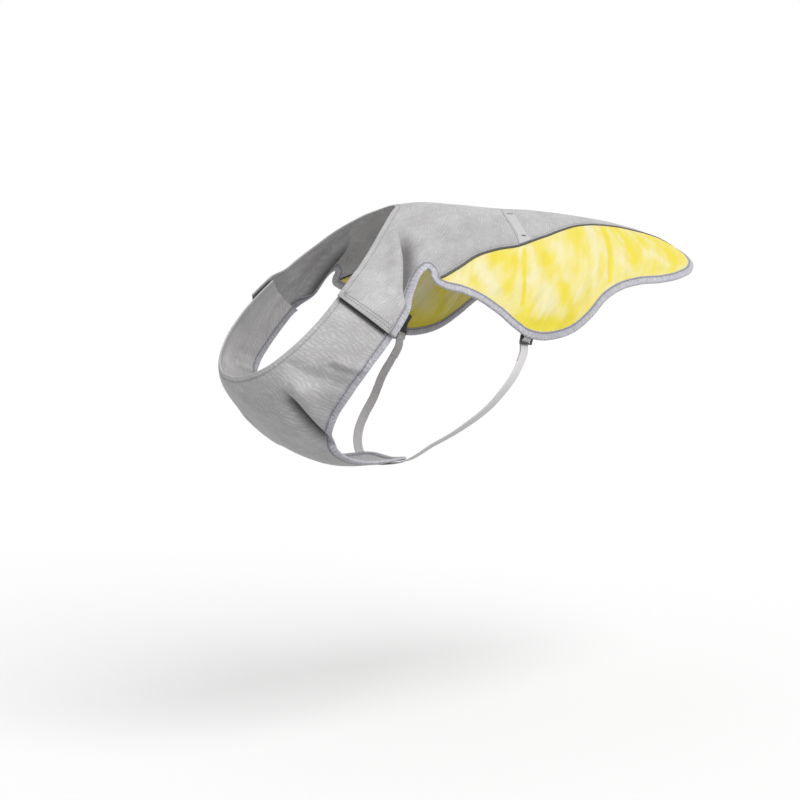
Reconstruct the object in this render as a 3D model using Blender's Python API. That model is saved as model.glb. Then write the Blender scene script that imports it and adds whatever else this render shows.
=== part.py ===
"""Cooling vest for a large dog, standing open in its worn shape.

Frame: metres, +Z up. The wearer faces -Y and its left side is +X. The origin
is on the inner face of the back panel, in the middle of the back.

The inner face of the cloth is a tube of egg-shaped sections. Station t runs
from the neck (0) to the rump (1), and the angle phi runs round each section
from the ridge of the back (0) to the keel under the chest (pi), positive on
the wearer's left. Every piece is a region or a strip of that tube, and its
layers are the tube's own points moved out along the normal.
"""
import math

import bpy
import bmesh
import numpy as np
from mathutils.geometry import delaunay_2d_cdt

MM = 0.001
TURN = 2 * math.pi

# ---------------------------------------------------------------- sizes
PANEL = 2.0 * MM            # thickness of the mesh-faced panels
GAP = 0.3 * MM              # between pieces that touch at a seam
LAYER_GAP = 0.45 * MM       # between layers, which are faceted differently
LAP_GAP = 0.8 * MM          # between the bindings where the strap laps the bib
TRIM_STEP = 14 * MM         # facets along edges and trims
FOLD_STEP = 13 * MM         # facets along the folds
EDGE_CLEAR = 7 * MM         # facets keep this far from a panel's outline
RAIL_CLEAR = 5.6 * MM       # and those along a rail or a fold this far
LATTICE_CLEAR = 9.8 * MM    # between the regular facets and those of a rail or a fold

BINDING_WIDTH = 10 * MM
BINDING_WALL = 1.0 * MM
PIPING_WIDTH = 3.4 * MM
PIPING_HEIGHT = 3.2 * MM
TAPE = 1.0 * MM             # hook tape, loop tape and webbing
OVERLAP_PHI = 0.22          # how far the bib runs up under the strap end
LAP_RISE_PHI = 0.17         # the strap climbs over the bib in this angle
LAP_FRONT_T = 0.25          # only the shoulder straps climb, ahead of here
STRAP_FRONT_T = 0.45        # lines across a strap run from the neck to here
MIDDLE_T = 0.5              # parts an edge into its front and its rear
HOOK_SHOWS = 2.0 * MM       # of the hook tape below the strap end
TAPE_INSET = 2.0 * MM       # of the closure tapes from the bindings and the bib's end
TAPE_NECK_INSET = 4.0 * MM  # and from the raw neck edge

STRAP_WIDTH = 11 * MM       # elastic belly strap
STRAP = 1.2 * MM
STRAP_TAIL = 40 * MM        # the adjusting tail ends this far below the slider's top
STRAP_SETTLES = 60 * MM     # below the slider the strap comes out to the form
ANCHOR_WIDTH = 20 * MM

SLIDER_WIDTH = 18.5 * MM
SLIDER_BAR = 2.6 * MM
SLIDER_SLOT = 4.0 * MM
SLIDER_LENGTH = 3 * SLIDER_BAR + 2 * SLIDER_SLOT
SLIDER_THICK = 2.0 * MM
SLIDER_RAIL = 2.6 * MM
TAB_WIDTH = STRAP_WIDTH
TAB_LENGTH = 20 * MM        # sewn up inside the hem

# The sections: where each one crosses the ridge and the keel, its half width
# at mid height, and how far its widest place lies below the middle.
SECTIONS = np.array((
    # t, ridge_y, ridge_z, keel_y, keel_z, half_width, low
    (0.00, -0.262, -0.001, -0.460, -0.162, 0.075, 0.32),
    (0.10, -0.200, 0.006, -0.457, -0.210, 0.102, 0.29),
    (0.20, -0.155, 0.005, -0.407, -0.262, 0.115, 0.27),
    (0.32, -0.100, 0.003, -0.328, -0.298, 0.123, 0.22),
    (0.46, -0.025, 0.001, -0.203, -0.290, 0.126, 0.16),
    (0.62, 0.060, -0.005, -0.050, -0.268, 0.126, 0.10),
    (0.80, 0.155, -0.021, 0.110, -0.244, 0.119, 0.04),
    (1.00, 0.250, -0.060, 0.250, -0.238, 0.093, 0.00),
))

STRAP_END_PHI = 1.82        # the strap end, across the shoulder

# Outer edges of the pieces on the wearer's left, as rows of (t, phi).
NECK_EDGE = (
    (0.030, 0.00), (0.026, 0.15), (0.012, 0.45), (0.004, 0.80), (0.004, 1.20),
    (0.008, 1.50), (0.016, 1.82), (0.028, 2.10), (0.042, 2.40), (0.058, 2.75),
    (0.064, math.pi),
)
STRAP_EDGE = (              # armhole side of the shoulder strap, up to the notch
    (0.166, 1.90), (0.164, 1.82), (0.161, 1.71), (0.158, 1.60), (0.153, 1.50),
    (0.147, 1.40), (0.141, 1.30), (0.144, 1.242), (0.149, 1.222),
)
HEM_EDGE = (                # from the notch along the side and round the rump
    (0.155, 1.232), (0.161, 1.265), (0.175, 1.305), (0.200, 1.320),
    (0.245, 1.310), (0.292, 1.335), (0.342, 1.410), (0.389, 1.525),
    (0.420, 1.600), (0.450, 1.642), (0.487, 1.650), (0.524, 1.610),
    (0.554, 1.500), (0.581, 1.355), (0.615, 1.270), (0.667, 1.215),
    (0.726, 1.190), (0.785, 1.120), (0.838, 0.985), (0.880, 0.760),
    (0.902, 0.450), (0.908, 0.200), (0.909, 0.00),
)
SIDE_SEAM = (               # piped seam between the back and the side panel
    (0.150, 1.350), (0.179, 1.265), (0.212, 1.130), (0.254, 0.965),
    (0.308, 0.865), (0.357, 0.815), (0.399, 0.745), (0.439, 0.675),
    (0.478, 0.595), (0.526, 0.510), (0.584, 0.445), (0.655, 0.410),
    (0.730, 0.405), (0.810, 0.395), (0.880, 0.370), (0.940, 0.340),
)
BIB_EDGE = (                # from under the strap, down to the tongue's end
    (0.158, 1.60), (0.161, 1.71), (0.164, 1.82), (0.166, 1.90), (0.170, 2.06), (0.182, 2.28),
    (0.198, 2.48), (0.222, 2.64), (0.258, 2.755), (0.300, 2.815),
    (0.345, 2.838), (0.380, 2.848), (0.398, 2.870), (0.409, 2.920),
    (0.414, 3.00), (0.415, math.pi),
)
STRAP_LINE = (              # middle of the belly strap, from under the hem to the keel
    (0.424, 1.42), (0.427, 1.54), (0.432, 1.65), (0.440, 1.73), (0.442, 1.82),
    (0.438, 2.00), (0.432, 2.20), (0.420, 2.35), (0.409, 2.50), (0.400, 2.68),
    (0.396, 2.84), (0.395, math.pi),
)
SLIDER_PHI = 1.565          # upper edge of the slider, on that line
STRAP_CLIMB_PHI = (2.62, 2.78)  # the strap climbs onto the tongue in between
ANCHOR_LINE = (             # middle of the anchor tape on the back
    (0.352, 0.24), (0.350, 0.40), (0.354, 0.52), (0.363, 0.64), (0.372, 0.75),
    (0.384, 0.95),
)
ANCHOR_TOP_PHI = 0.30

# The largest folds: a line from (t0, phi0) to (t1, phi1), the half width and
# the height of the ridge (or, below zero, the depth of the trough). A fold runs
# out over FOLD_TAPER of its length at each end, and its facets lie on its line
# and FOLD_FLANK half widths to both sides.
FOLD_TAPER = 0.25
FOLD_FLANK = 1.3
FOLDS = (
    # name, t0, phi0, t1, phi1, half_width, height
    ("shoulder_trough_left", 0.046, 0.86, 0.104, 1.30, 8 * MM, -7 * MM),
    ("shoulder_trough_right", 0.048, -0.82, 0.102, -1.26, 8 * MM, -7 * MM),
    ("bib_pocket_left", 0.112, 2.67, 0.200, 2.75, 9 * MM, -7 * MM),
    ("bib_pocket_right", 0.104, TURN - 2.66, 0.190, TURN - 2.74, 10 * MM, -5 * MM),
    ("bib_crease_left", 0.066, 2.48, 0.145, 2.29, 9 * MM, -3 * MM),
    ("bib_crease_right", 0.070, TURN - 2.44, 0.142, TURN - 2.26, 9 * MM, -3 * MM),
    ("side_crease_left", 0.365, 0.98, 0.405, 1.36, 8 * MM, -2.5 * MM),
    ("side_swell_left", 0.440, 0.92, 0.470, 1.40, 14 * MM, 3 * MM),
    ("side_crease_right", 0.380, -0.96, 0.400, -1.34, 8 * MM, -2.5 * MM),
    ("side_swell_right", 0.450, -0.90, 0.465, -1.38, 14 * MM, 3 * MM),
)

# Lengths of one unit of t and of phi, for laying the panels out flat.
FLAT_T = 0.52
FLAT_PHI = 0.130
FLAT = np.array((FLAT_T, FLAT_PHI))

# One lattice of facets for every panel, so that layers are faceted alike. It
# closes round a whole turn and is its own mirror image.
LATTICE_PHI = TURN / 48
LATTICE_T = LATTICE_PHI * FLAT_PHI / FLAT_T * math.sqrt(3) / 2

COLOURS = {
    # material: colour, roughness, metallic
    "grey_mesh": ((0.53, 0.53, 0.54), 0.75, 0.0),
    "yellow_nylon": ((0.88, 0.80, 0.13), 0.45, 0.0),
    "light_binding": ((0.60, 0.59, 0.64), 0.65, 0.0),
    "dark_piping": ((0.10, 0.10, 0.10), 0.60, 0.0),
    "black_hook": ((0.03, 0.03, 0.03), 0.85, 0.0),
    "grey_loop": ((0.40, 0.40, 0.41), 0.90, 0.0),
    "grey_elastic": ((0.56, 0.55, 0.54), 0.70, 0.0),
    "black_webbing": ((0.04, 0.04, 0.04), 0.80, 0.0),
    "black_plastic": ((0.03, 0.03, 0.03), 0.40, 0.0),
}


# ---------------------------------------------------------------- the form
def through_rows(rows, x):
    """Smooth values at x through rows whose first column is x."""
    rows = np.asarray(rows, float)
    xs, ys = rows[:, 0], rows[:, 1:]
    x = np.clip(np.asarray(x, float), xs[0], xs[-1])
    step = np.diff(xs)
    chord = np.diff(ys, axis=0) / step[:, None]
    share = (step[:-1] / (step[:-1] + step[1:]))[:, None]
    slope = np.vstack((chord[:1], chord[:-1] * (1 - share) + chord[1:] * share, chord[-1:]))
    i = np.clip(np.searchsorted(xs, x, side="right") - 1, 0, len(xs) - 2)
    h = step[i][..., None]
    s = (x - xs[i])[..., None] / h
    ends = ys[i] * (1 + 2 * s) * (1 - s) ** 2 + ys[i + 1] * s * s * (3 - 2 * s)
    return ends + slope[i] * h * s * (1 - s) ** 2 - slope[i + 1] * h * s * s * (1 - s)


def tube(t, phi):
    """Point on the inner face of the cloth, before folds and laps."""
    ridge_y, ridge_z, keel_y, keel_z, half_width, low = np.moveaxis(through_rows(SECTIONS, t), -1, 0)
    down = (1 - np.cos(phi)) / 2
    x = half_width * np.sin(phi) * (1 - low * np.cos(phi))
    y = ridge_y + (keel_y - ridge_y) * down
    z = ridge_z + (keel_z - ridge_z) * down
    return np.stack((x, y, z), axis=-1)


def tube_slopes(t, phi):
    """The tube's directions along t and along phi."""
    step = 1e-4
    t = np.clip(t, step, 1 - step)
    along = (tube(t + step, phi) - tube(t - step, phi)) / (2 * step)
    around = (tube(t, phi + step) - tube(t, phi - step)) / (2 * step)
    return along, around


def unit(vectors):
    return vectors / np.linalg.norm(vectors, axis=-1, keepdims=True)


def ease(x):
    """0 below 0, 1 above 1, smooth between."""
    x = np.clip(x, 0, 1)
    return x * x * (3 - 2 * x)


def fold_height(t, phi):
    """Height of the folds over the tube at (t, phi)."""
    total = np.zeros(np.broadcast(t, phi).shape)
    here = np.stack((t * FLAT_T, phi * FLAT_PHI), axis=-1)
    for _, t0, phi0, t1, phi1, half_width, height in FOLDS:
        start = np.array((t0 * FLAT_T, phi0 * FLAT_PHI))
        run = np.array((t1 * FLAT_T, phi1 * FLAT_PHI)) - start
        share = ((here - start) @ run) / (run @ run)
        off = np.linalg.norm(here - start - np.clip(share, 0, 1)[..., None] * run, axis=-1)
        taper = ease(share / FOLD_TAPER) * ease((1 - share) / FOLD_TAPER)
        total = total + height * taper * np.exp(-(off / half_width) ** 2)
    return total


LAP_LIFT = PANEL + 2 * (LAYER_GAP + BINDING_WALL) + LAP_GAP


def lap_height(t, phi):
    """How far a shoulder strap lies out where it laps over the bib."""
    risen = ease((np.abs(phi) - (STRAP_END_PHI - OVERLAP_PHI - LAP_RISE_PHI)) / LAP_RISE_PHI)
    return LAP_LIFT * risen * (t < LAP_FRONT_T)


def no_lap(t, phi):
    return 0.0 * np.asarray(t, float)


def place(t, phi, height, lap=no_lap):
    """Point at a height over the inner face of the cloth, folds and lap included."""
    along, around = tube_slopes(t, phi)
    out = unit(np.cross(around, along))
    lift = height + fold_height(t, phi) + lap(t, phi)
    return tube(t, phi) + out * np.asarray(lift)[..., None]


# ---------------------------------------------------------------- lines on the form
def lengths_along(points):
    """Distance of each point of a line from its start."""
    steps = np.linalg.norm(np.diff(tube(*points.T), axis=0), axis=1)
    return np.concatenate(((0,), np.cumsum(steps)))


def line(rows, step=TRIM_STEP):
    """Smooth line through rows of (t, phi), cut about every step between its rows."""
    rows = np.array(rows, float)
    where = lengths_along(rows)
    cuts = [np.linspace(a, b, max(1, round((b - a) / step)), endpoint=False)
            for a, b in zip(where, where[1:])]
    cuts = np.append(np.concatenate(cuts), where[-1])
    return through_rows(np.column_stack((where, rows)), cuts)


def mirrored(points, turn=0.0):
    """The line on the wearer's other side; turn is TURN where it passes the keel."""
    return points * (1, -1) + (0, turn)


def both_sides(points, turn=0.0):
    """A line that ends in the middle, continued to its mirror image."""
    return np.vstack((points, mirrored(points[-2::-1], turn)))


def moved(points, run, offset):
    """Points of (t, phi) moved across a run; positive is to its left, seen from outside."""
    along, around = tube_slopes(*points.T)
    side = np.cross(unit(np.cross(around, along)), unit(run))
    basis = np.stack((along, around), axis=-1)
    return points + (np.linalg.pinv(basis) @ side[..., None])[..., 0] * offset


def beside(points, offset):
    """A line moved sideways in the surface."""
    return moved(points, np.gradient(tube(*points.T), axis=0), offset)


def crossing(first, second):
    """Where a line is first crossed by another: the step of the line, and the point."""
    a, b = first[:-1, None], np.diff(first, axis=0)[:, None]
    c, d = second[None, :-1], np.diff(second, axis=0)[None]
    turn = b[..., 0] * d[..., 1] - b[..., 1] * d[..., 0]
    turn = np.where(turn == 0, np.nan, turn)
    s = ((c - a)[..., 0] * d[..., 1] - (c - a)[..., 1] * d[..., 0]) / turn
    u = ((c - a)[..., 0] * b[..., 1] - (c - a)[..., 1] * b[..., 0]) / turn
    i, j = np.argwhere((0 <= s) & (s <= 1) & (0 <= u) & (u <= 1))[0]
    return i, first[i] + s[i, j] * b[i, 0]


def from_crossing(points, start):
    """The rest of a line from where another one first crosses it."""
    i, corner = crossing(points, start)
    rest = points[i + 1:]
    too_near = np.linalg.norm(tube(*rest[0]) - tube(*corner)) < GAP
    return np.vstack((corner, rest[1:] if too_near else rest))


def between(points, start, end):
    """The stretch of a line from the line that crosses its start to the one at its end."""
    return from_crossing(from_crossing(points, start)[::-1], end)[::-1]


def outline_of(*lines):
    """Closed outline of lines in their order round it, each cut by its two neighbours."""
    sides = [between(side, lines[k - 1], lines[(k + 1) % len(lines)])
             for k, side in enumerate(lines)]
    return np.vstack([side[:-1] for side in sides])


def front_of(points):
    return points[points[:, 0] < MIDDLE_T]


def rear_of(points):
    return points[points[:, 0] > MIDDLE_T]


# ---------------------------------------------------------------- meshes
def material(name):
    colour, roughness, metallic = COLOURS[name]
    made = bpy.data.materials.get(name) or bpy.data.materials.new(name)
    made.use_nodes = True
    shader = made.node_tree.nodes["Principled BSDF"]
    shader.inputs["Base Color"].default_value = (*colour, 1.0)
    shader.inputs["Roughness"].default_value = roughness
    shader.inputs["Metallic"].default_value = metallic
    return made


def add_object(name, vertices, faces, material_name):
    """A closed mesh object with its faces turned outwards."""
    mesh = bpy.data.meshes.new(name)
    mesh.from_pydata([tuple(v) for v in vertices], [], [tuple(f) for f in faces])
    work = bmesh.new()
    work.from_mesh(mesh)
    bmesh.ops.recalc_face_normals(work, faces=work.faces)
    work.to_mesh(mesh)
    work.free()
    mesh.materials.append(material(material_name))
    mesh.shade_smooth()
    mesh.set_sharp_from_angle(angle=math.radians(40))
    made = bpy.data.objects.new(name, mesh)
    bpy.context.scene.collection.objects.link(made)
    return made


def distance_to_outline(points, outline):
    """Distance of each flat point to a closed outline, and whether it is inside."""
    a, b = outline, np.roll(outline, -1, axis=0)
    nearest = np.full(len(points), np.inf)
    inside = np.zeros(len(points), bool)
    for p, q in zip(a, b):
        run = q - p
        share = np.clip((points - p) @ run / (run @ run), 0, 1)
        nearest = np.minimum(nearest, np.linalg.norm(points - p - share[:, None] * run, axis=1))
        spans = (p[1] > points[:, 1]) != (q[1] > points[:, 1])
        height = np.where(spans, points[:, 1] - p[1], 0) / (run[1] if run[1] else 1)
        inside ^= spans & (points[:, 0] < p[0] + height * run[0])
    return nearest, inside


def lattice(low, high, fineness):
    """Staggered rows of (t, phi) that cover the space between two corners."""
    step_t, step_phi = LATTICE_T / fineness, LATTICE_PHI / fineness
    rows = range(math.floor(low[0] / step_t), math.ceil(high[0] / step_t) + 1)
    columns = range(math.floor(low[1] / step_phi) - 1, math.ceil(high[1] / step_phi) + 1)
    return np.array([(row * step_t, (column + row % 2 / 2) * step_phi)
                     for row in rows for column in columns])


def fold_points():
    """Points on the bottom and both flanks of each fold."""
    points = []
    for _, t0, phi0, t1, phi1, half_width, _ in FOLDS:
        start = np.array((t0, phi0)) * FLAT
        run = np.array((t1, phi1)) * FLAT - start
        length = np.linalg.norm(run)
        across_run = np.array((-run[1], run[0])) / length
        ends = FOLD_TAPER / 3, 1 - FOLD_TAPER / 3
        for share in np.linspace(*ends, max(3, round(length / FOLD_STEP))):
            points += [(start + run * share + across_run * half_width * k) / FLAT
                       for k in (-FOLD_FLANK, 0.0, FOLD_FLANK)]
    return np.array(points)


def spaced_from(points, others, distance):
    """The points that lie at least a distance from every other one, laid flat."""
    apart = np.linalg.norm((points[:, None] - others[None]) * FLAT, axis=2).min(axis=1)
    return points[apart > distance]


def filling(outline, rails, fineness):
    """Points inside a closed outline: its rails, the folds, and the lattice between."""
    inner = np.vstack((*rails, fold_points()))
    nearest, inside = distance_to_outline(inner * FLAT, outline * FLAT)
    inner = inner[inside & (nearest > RAIL_CLEAR / fineness)]
    grid = lattice(outline.min(axis=0), outline.max(axis=0), fineness)
    nearest, inside = distance_to_outline(grid * FLAT, outline * FLAT)
    grid = grid[inside & (nearest > EDGE_CLEAR / fineness)]
    if len(inner):
        grid = spaced_from(grid, inner, LATTICE_CLEAR)
    return np.vstack((inner, grid))


def add_panel(name, outline, colour, bottom=0.0, top=PANEL, lap=no_lap, rails=(), fineness=1):
    """A cloth panel: the region inside a closed line of (t, phi), as a wall."""
    points = np.vstack((outline, filling(outline, rails, fineness))) * FLAT
    count = len(outline)
    border = [(i, (i + 1) % count) for i in range(count)]
    flat = [(phi, t) for t, phi in points]
    corners, _, triangles, _, _, _ = delaunay_2d_cdt(flat, border, [], 1, 1e-7)
    phi, t = np.array([tuple(c) for c in corners]).T / FLAT[::-1, None]
    vertices = np.vstack((place(t, phi, top, lap), place(t, phi, bottom, lap)))
    total = len(corners)
    edges = {(f[k], f[(k + 1) % 3]) for f in triangles for k in range(3)}
    faces = [tuple(f) for f in triangles]
    faces += [tuple(i + total for i in reversed(f)) for f in triangles]
    faces += [(b, a, a + total, b + total) for a, b in edges if (b, a) not in edges]
    return add_object(name, vertices, faces, colour)


def add_rings(name, rings, end_quads, material_name):
    """A solid through rings of points, closed by the quads at both ends."""
    count, around = rings.shape[:2]
    faces = [(i * around + k, i * around + (k + 1) % around,
              (i + 1) * around + (k + 1) % around, (i + 1) * around + k)
             for i in range(count - 1) for k in range(around)]
    last = (count - 1) * around
    for quad in end_quads:
        faces.append(quad)
        faces.append(tuple(last + k for k in reversed(quad)))
    return add_object(name, rings.reshape(-1, 3), faces, material_name)


def add_strip(name, middle, profile, end_quads, material_name, lap=no_lap):
    """A solid of one profile along a line; profile points are (sideways, height)."""
    rings = [place(*beside(middle, side).T, height, lap) for side, height in profile]
    return add_rings(name, np.stack(rings, axis=1), end_quads, material_name)


def add_binding(name, edge, lap):
    """Folded tape round a panel's edge: two legs and the web that joins them."""
    web, leg = BINDING_WALL, BINDING_WIDTH
    low, high = -LAYER_GAP, PANEL + LAYER_GAP
    profile = (
        (0, low - BINDING_WALL), (leg, low - BINDING_WALL), (leg, low), (web, low),
        (web, high), (leg, high), (leg, high + BINDING_WALL), (0, high + BINDING_WALL),
    )
    quads = ((0, 1, 2, 3), (0, 3, 4, 7), (7, 4, 5, 6))
    return add_strip(name, edge, profile, quads, "light_binding", lap)


# ---------------------------------------------------------------- edges shared by the pieces
EDGE_INSET = BINDING_WALL + LAYER_GAP       # a bound panel ends inside its binding


def left_body_edge(offset=0.0):
    """Bound edge from the left strap end, by the notch, to the middle of the rump."""
    return beside(line(STRAP_EDGE + HEM_EDGE), offset)


def left_hem(offset=0.0):
    """The bound edge behind the notch."""
    return left_body_edge(offset)[len(line(STRAP_EDGE)) - 1:]


def bib_edge():
    """Bound edge of the bib from the right strap, by the tongue's end, to the left one."""
    return both_sides(line(BIB_EDGE), TURN)[::-1]


def neck_edge(turn=0.0):
    """Neck edge from right to left, over the ridge, or under the keel with turn=TURN."""
    left = line(NECK_EDGE)
    return both_sides(left, turn) if turn else both_sides(left[::-1])[::-1]


def across(phi):
    """A line along the tube at one phi, such as a strap end."""
    return line(((0.0, phi), (STRAP_FRONT_T / 2, phi), (STRAP_FRONT_T, phi)))


def side_seam(offset=0.0):
    """Piped seam between the back and the left side panel, from the front."""
    return beside(line(SIDE_SEAM), offset)


SEAM_INSET = PIPING_WIDTH / 2 + GAP


# ---------------------------------------------------------------- the panels
def add_back_panel():
    """Back and both shoulder straps in one cut."""
    edge = left_body_edge(EDGE_INSET)
    front = front_of(edge)
    rump = both_sides(rear_of(edge))
    seam = side_seam(SEAM_INSET)
    outline = outline_of(
        neck_edge(), across(STRAP_END_PHI), front, seam, rump,
        mirrored(seam)[::-1], mirrored(front)[::-1], across(-STRAP_END_PHI)[::-1])
    rail = left_body_edge(BINDING_WIDTH)
    add_panel("back_panel", outline, "grey_mesh", lap=lap_height, rails=(rail, mirrored(rail)))


def add_side_panel(side, flip):
    """Yellow panel between the seam and the hem."""
    outline = outline_of(left_hem(EDGE_INSET), side_seam(-SEAM_INSET)[::-1])
    rail = left_hem(BINDING_WIDTH)
    if flip:
        outline, rail = mirrored(outline)[::-1], mirrored(rail)
    add_panel("side_panel_" + side, outline, "yellow_nylon", rails=(rail,))


def add_chest_bib():
    """Bib round the chest, with the tongue that runs back between the front legs."""
    top = STRAP_END_PHI - OVERLAP_PHI
    edge = beside(bib_edge(), EDGE_INSET)
    outline = outline_of(neck_edge(TURN), across(TURN - top), edge, across(top)[::-1])
    add_panel("chest_bib", outline, "grey_mesh", rails=(beside(bib_edge(), BINDING_WIDTH),))


# ---------------------------------------------------------------- edges and seams
def add_bindings():
    ends = across(STRAP_END_PHI), across(-STRAP_END_PHI)
    add_binding("body_binding", between(both_sides(left_body_edge()), *ends), lap_height)
    add_binding("bib_binding", bib_edge(), no_lap)


def add_piping(side, flip):
    """Round cord in its sleeve, standing a little proud of the seam."""
    half, shoulder = PIPING_WIDTH / 2, PIPING_WIDTH / 4
    profile = (
        (-half, 0), (half, 0), (half, PANEL), (shoulder, PIPING_HEIGHT),
        (-shoulder, PIPING_HEIGHT), (-half, PANEL),
    )
    stop = left_hem(BINDING_WIDTH + PIPING_WIDTH)
    run = between(side_seam(), front_of(stop), rear_of(stop))
    if flip:
        run = mirrored(run)
    add_strip("piping_" + side, run, profile, ((0, 1, 2, 5), (5, 2, 3, 4)), "dark_piping")


# ---------------------------------------------------------------- the strap closures
def add_closure_tapes(side, flip):
    """Hook tape under the strap end, and the loop tape on the bib that it grips."""
    upper = STRAP_END_PHI - OVERLAP_PHI + TAPE_INSET / FLAT_PHI
    loop_end = STRAP_END_PHI - TAPE_INSET / FLAT_PHI
    hook_end = STRAP_END_PHI + HOOK_SHOWS / FLAT_PHI
    armhole = beside(line(BIB_EDGE), -(BINDING_WIDTH + TAPE_INSET))
    neck = beside(neck_edge(), TAPE_NECK_INSET)
    tapes = (
        # name, lower end, bottom, material
        ("loop_tape_", loop_end, PANEL + LAYER_GAP, "grey_loop"),
        ("hook_tape_", hook_end, PANEL + 2 * LAYER_GAP + TAPE, "black_hook"),
    )
    for name, lower, bottom, colour in tapes:
        outline = outline_of(neck, across(lower), armhole[::-1], across(upper)[::-1])
        if flip:
            outline = mirrored(outline)[::-1]
        add_panel(name + side, outline, colour, bottom, bottom + TAPE, fineness=2)


def add_strap_anchor(side, flip):
    """Tape sewn down the back panel to the seam, above the belly strap."""
    middle = line(ANCHOR_LINE)
    outline = outline_of(
        beside(middle, -ANCHOR_WIDTH / 2), side_seam(SEAM_INSET + LAYER_GAP),
        beside(middle, ANCHOR_WIDTH / 2)[::-1], across(ANCHOR_TOP_PHI)[::-1])
    if flip:
        outline = mirrored(outline)[::-1]
    bottom = PANEL + LAYER_GAP
    add_panel("strap_anchor_" + side, outline, "grey_elastic", bottom, bottom + TAPE, fineness=2)


# ---------------------------------------------------------------- the belly strap
# How webbing rounds a bar: its middle sinks BEND_DROP over BEND_RUN at each
# corner, and EASE is the spare room on each side.
BEND_RUN = 0.7 * MM
BEND_DROP = 0.6 * MM
EASE = 0.2 * MM

# Heights over the inner face of the cloth, at the slider under the hem.
TAB_FRONT = -(LAYER_GAP + BINDING_WALL) - LAYER_GAP - TAPE / 2
SLIDER_HEIGHT = TAB_FRONT - TAPE / 2 - GAP - SLIDER_THICK / 2
TAB_BACK = 2 * SLIDER_HEIGHT - TAB_FRONT
TAB_SEWN = TAB_FRONT - TAPE - GAP
STRAP_FRONT = SLIDER_HEIGHT + SLIDER_THICK / 2 + GAP + STRAP / 2
STRAP_BACK = 2 * SLIDER_HEIGHT - STRAP_FRONT
STRAP_OVER_TONGUE = PANEL + 2 * LAYER_GAP + BINDING_WALL + STRAP / 2


def strap_route():
    """Rows of (length, t, phi) along the belly strap's middle, from under the left hem."""
    middle = both_sides(line(STRAP_LINE, 10 * MM), TURN)
    return np.column_stack((lengths_along(middle), middle))


def slider_start(route):
    """Length along the route at the upper edge of the left slider."""
    half = len(route) // 2
    return np.interp(SLIDER_PHI, route[:half, 2], route[:half, 0])


def on_route(route, s, sideways, height):
    """Point at a length along the route, moved sideways and out."""
    s = np.asarray(s, float)
    here = through_rows(route, s)
    run = tube(*through_rows(route, s + 0.1 * MM).T) - tube(*through_rows(route, s - 0.1 * MM).T)
    return place(*moved(here, run, sideways).T, height)


def add_ribbon(name, route, path, width, thickness, material_name):
    """Webbing whose thickness follows a path of (length along the route, height)."""
    path = np.array(path, float)
    run = unit(np.gradient(path, axis=0))
    out = np.column_stack((-run[:, 1], run[:, 0])) * thickness / 2
    inner, outer = (path - out).T, (path + out).T
    rings = [on_route(route, *inner[:1], -width / 2, inner[1]),
             on_route(route, *inner[:1], width / 2, inner[1]),
             on_route(route, *outer[:1], width / 2, outer[1]),
             on_route(route, *outer[:1], -width / 2, outer[1])]
    return add_rings(name, np.stack(rings, axis=1), ((0, 1, 2, 3),), material_name)


def strap_height(s, route, start):
    """Height of the strap's middle: tucked in by the slider, out over the tongue."""
    tucked = 1 - ease((s - start - SLIDER_LENGTH) / STRAP_SETTLES)
    phi = through_rows(route, s)[..., 1]
    over = ease((phi - STRAP_CLIMB_PHI[0]) / (STRAP_CLIMB_PHI[1] - STRAP_CLIMB_PHI[0]))
    rest = STRAP / 2 + (STRAP_OVER_TONGUE - STRAP / 2) * over
    return rest * (1 - tucked) + STRAP_BACK * tucked


def strap_path(route, start):
    """Path of the whole strap: tail, slider, belly, slider, tail."""
    middle = route[-1, 0] / 2
    run = np.arange(start + SLIDER_LENGTH + 2 * MM, middle, TRIM_STEP)
    bar = start + SLIDER_BAR + SLIDER_SLOT      # upper edge of the middle bar
    below = bar + SLIDER_BAR                    # and its lower edge
    tail = np.linspace(start + STRAP_TAIL, bar + EASE, 4)
    turn = STRAP / 2 + GAP
    threaded = (
        # up through the upper slot, over the middle bar, back through the lower slot
        (bar - turn, STRAP_BACK - EASE),
        (bar - turn - EASE, SLIDER_HEIGHT),
        (bar - BEND_RUN, STRAP_FRONT - BEND_DROP),
        (bar + EASE, STRAP_FRONT),
        (below - EASE, STRAP_FRONT),
        (below + BEND_RUN, STRAP_FRONT - BEND_DROP),
        (below + SLIDER_SLOT - BEND_RUN, STRAP_BACK + BEND_DROP),
        (below + SLIDER_SLOT + EASE, STRAP_BACK),
    )
    under = STRAP + GAP
    left = [(s, strap_height(s, route, start) - under) for s in tail]
    left += threaded
    left += [(s, strap_height(s, route, start)) for s in run]
    right = [(2 * middle - s, height) for s, height in reversed(left)]
    return left + [(middle, strap_height(middle, route, start))] + right


def add_belly_strap(route, start):
    """Elastic strap from slider to slider, sewn across the end of the bib's tongue."""
    path = strap_path(route, start)
    add_ribbon("belly_strap", route, path, STRAP_WIDTH, STRAP, "grey_elastic")


def add_slider_tab(side, route, start):
    """Loop of tape sewn inside the hem, round the slider's upper bar."""
    bar = start + SLIDER_BAR + EASE     # just past the upper bar
    turn = TAPE / 2 + GAP
    path = (
        (start - TAB_LENGTH, TAB_FRONT),
        (start, TAB_FRONT),
        (bar, TAB_FRONT),
        (bar + turn, TAB_FRONT - BEND_DROP),
        (bar + turn + EASE / 2, SLIDER_HEIGHT),
        (bar + turn, TAB_BACK + BEND_DROP),
        (bar, TAB_BACK),
        (start, TAB_BACK),
        (start - TAB_LENGTH / 3, TAB_SEWN),
        (start - TAB_LENGTH, TAB_SEWN),
    )
    add_ribbon("slider_tab_" + side, route, path, TAB_WIDTH, TAPE, "black_webbing")


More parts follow.
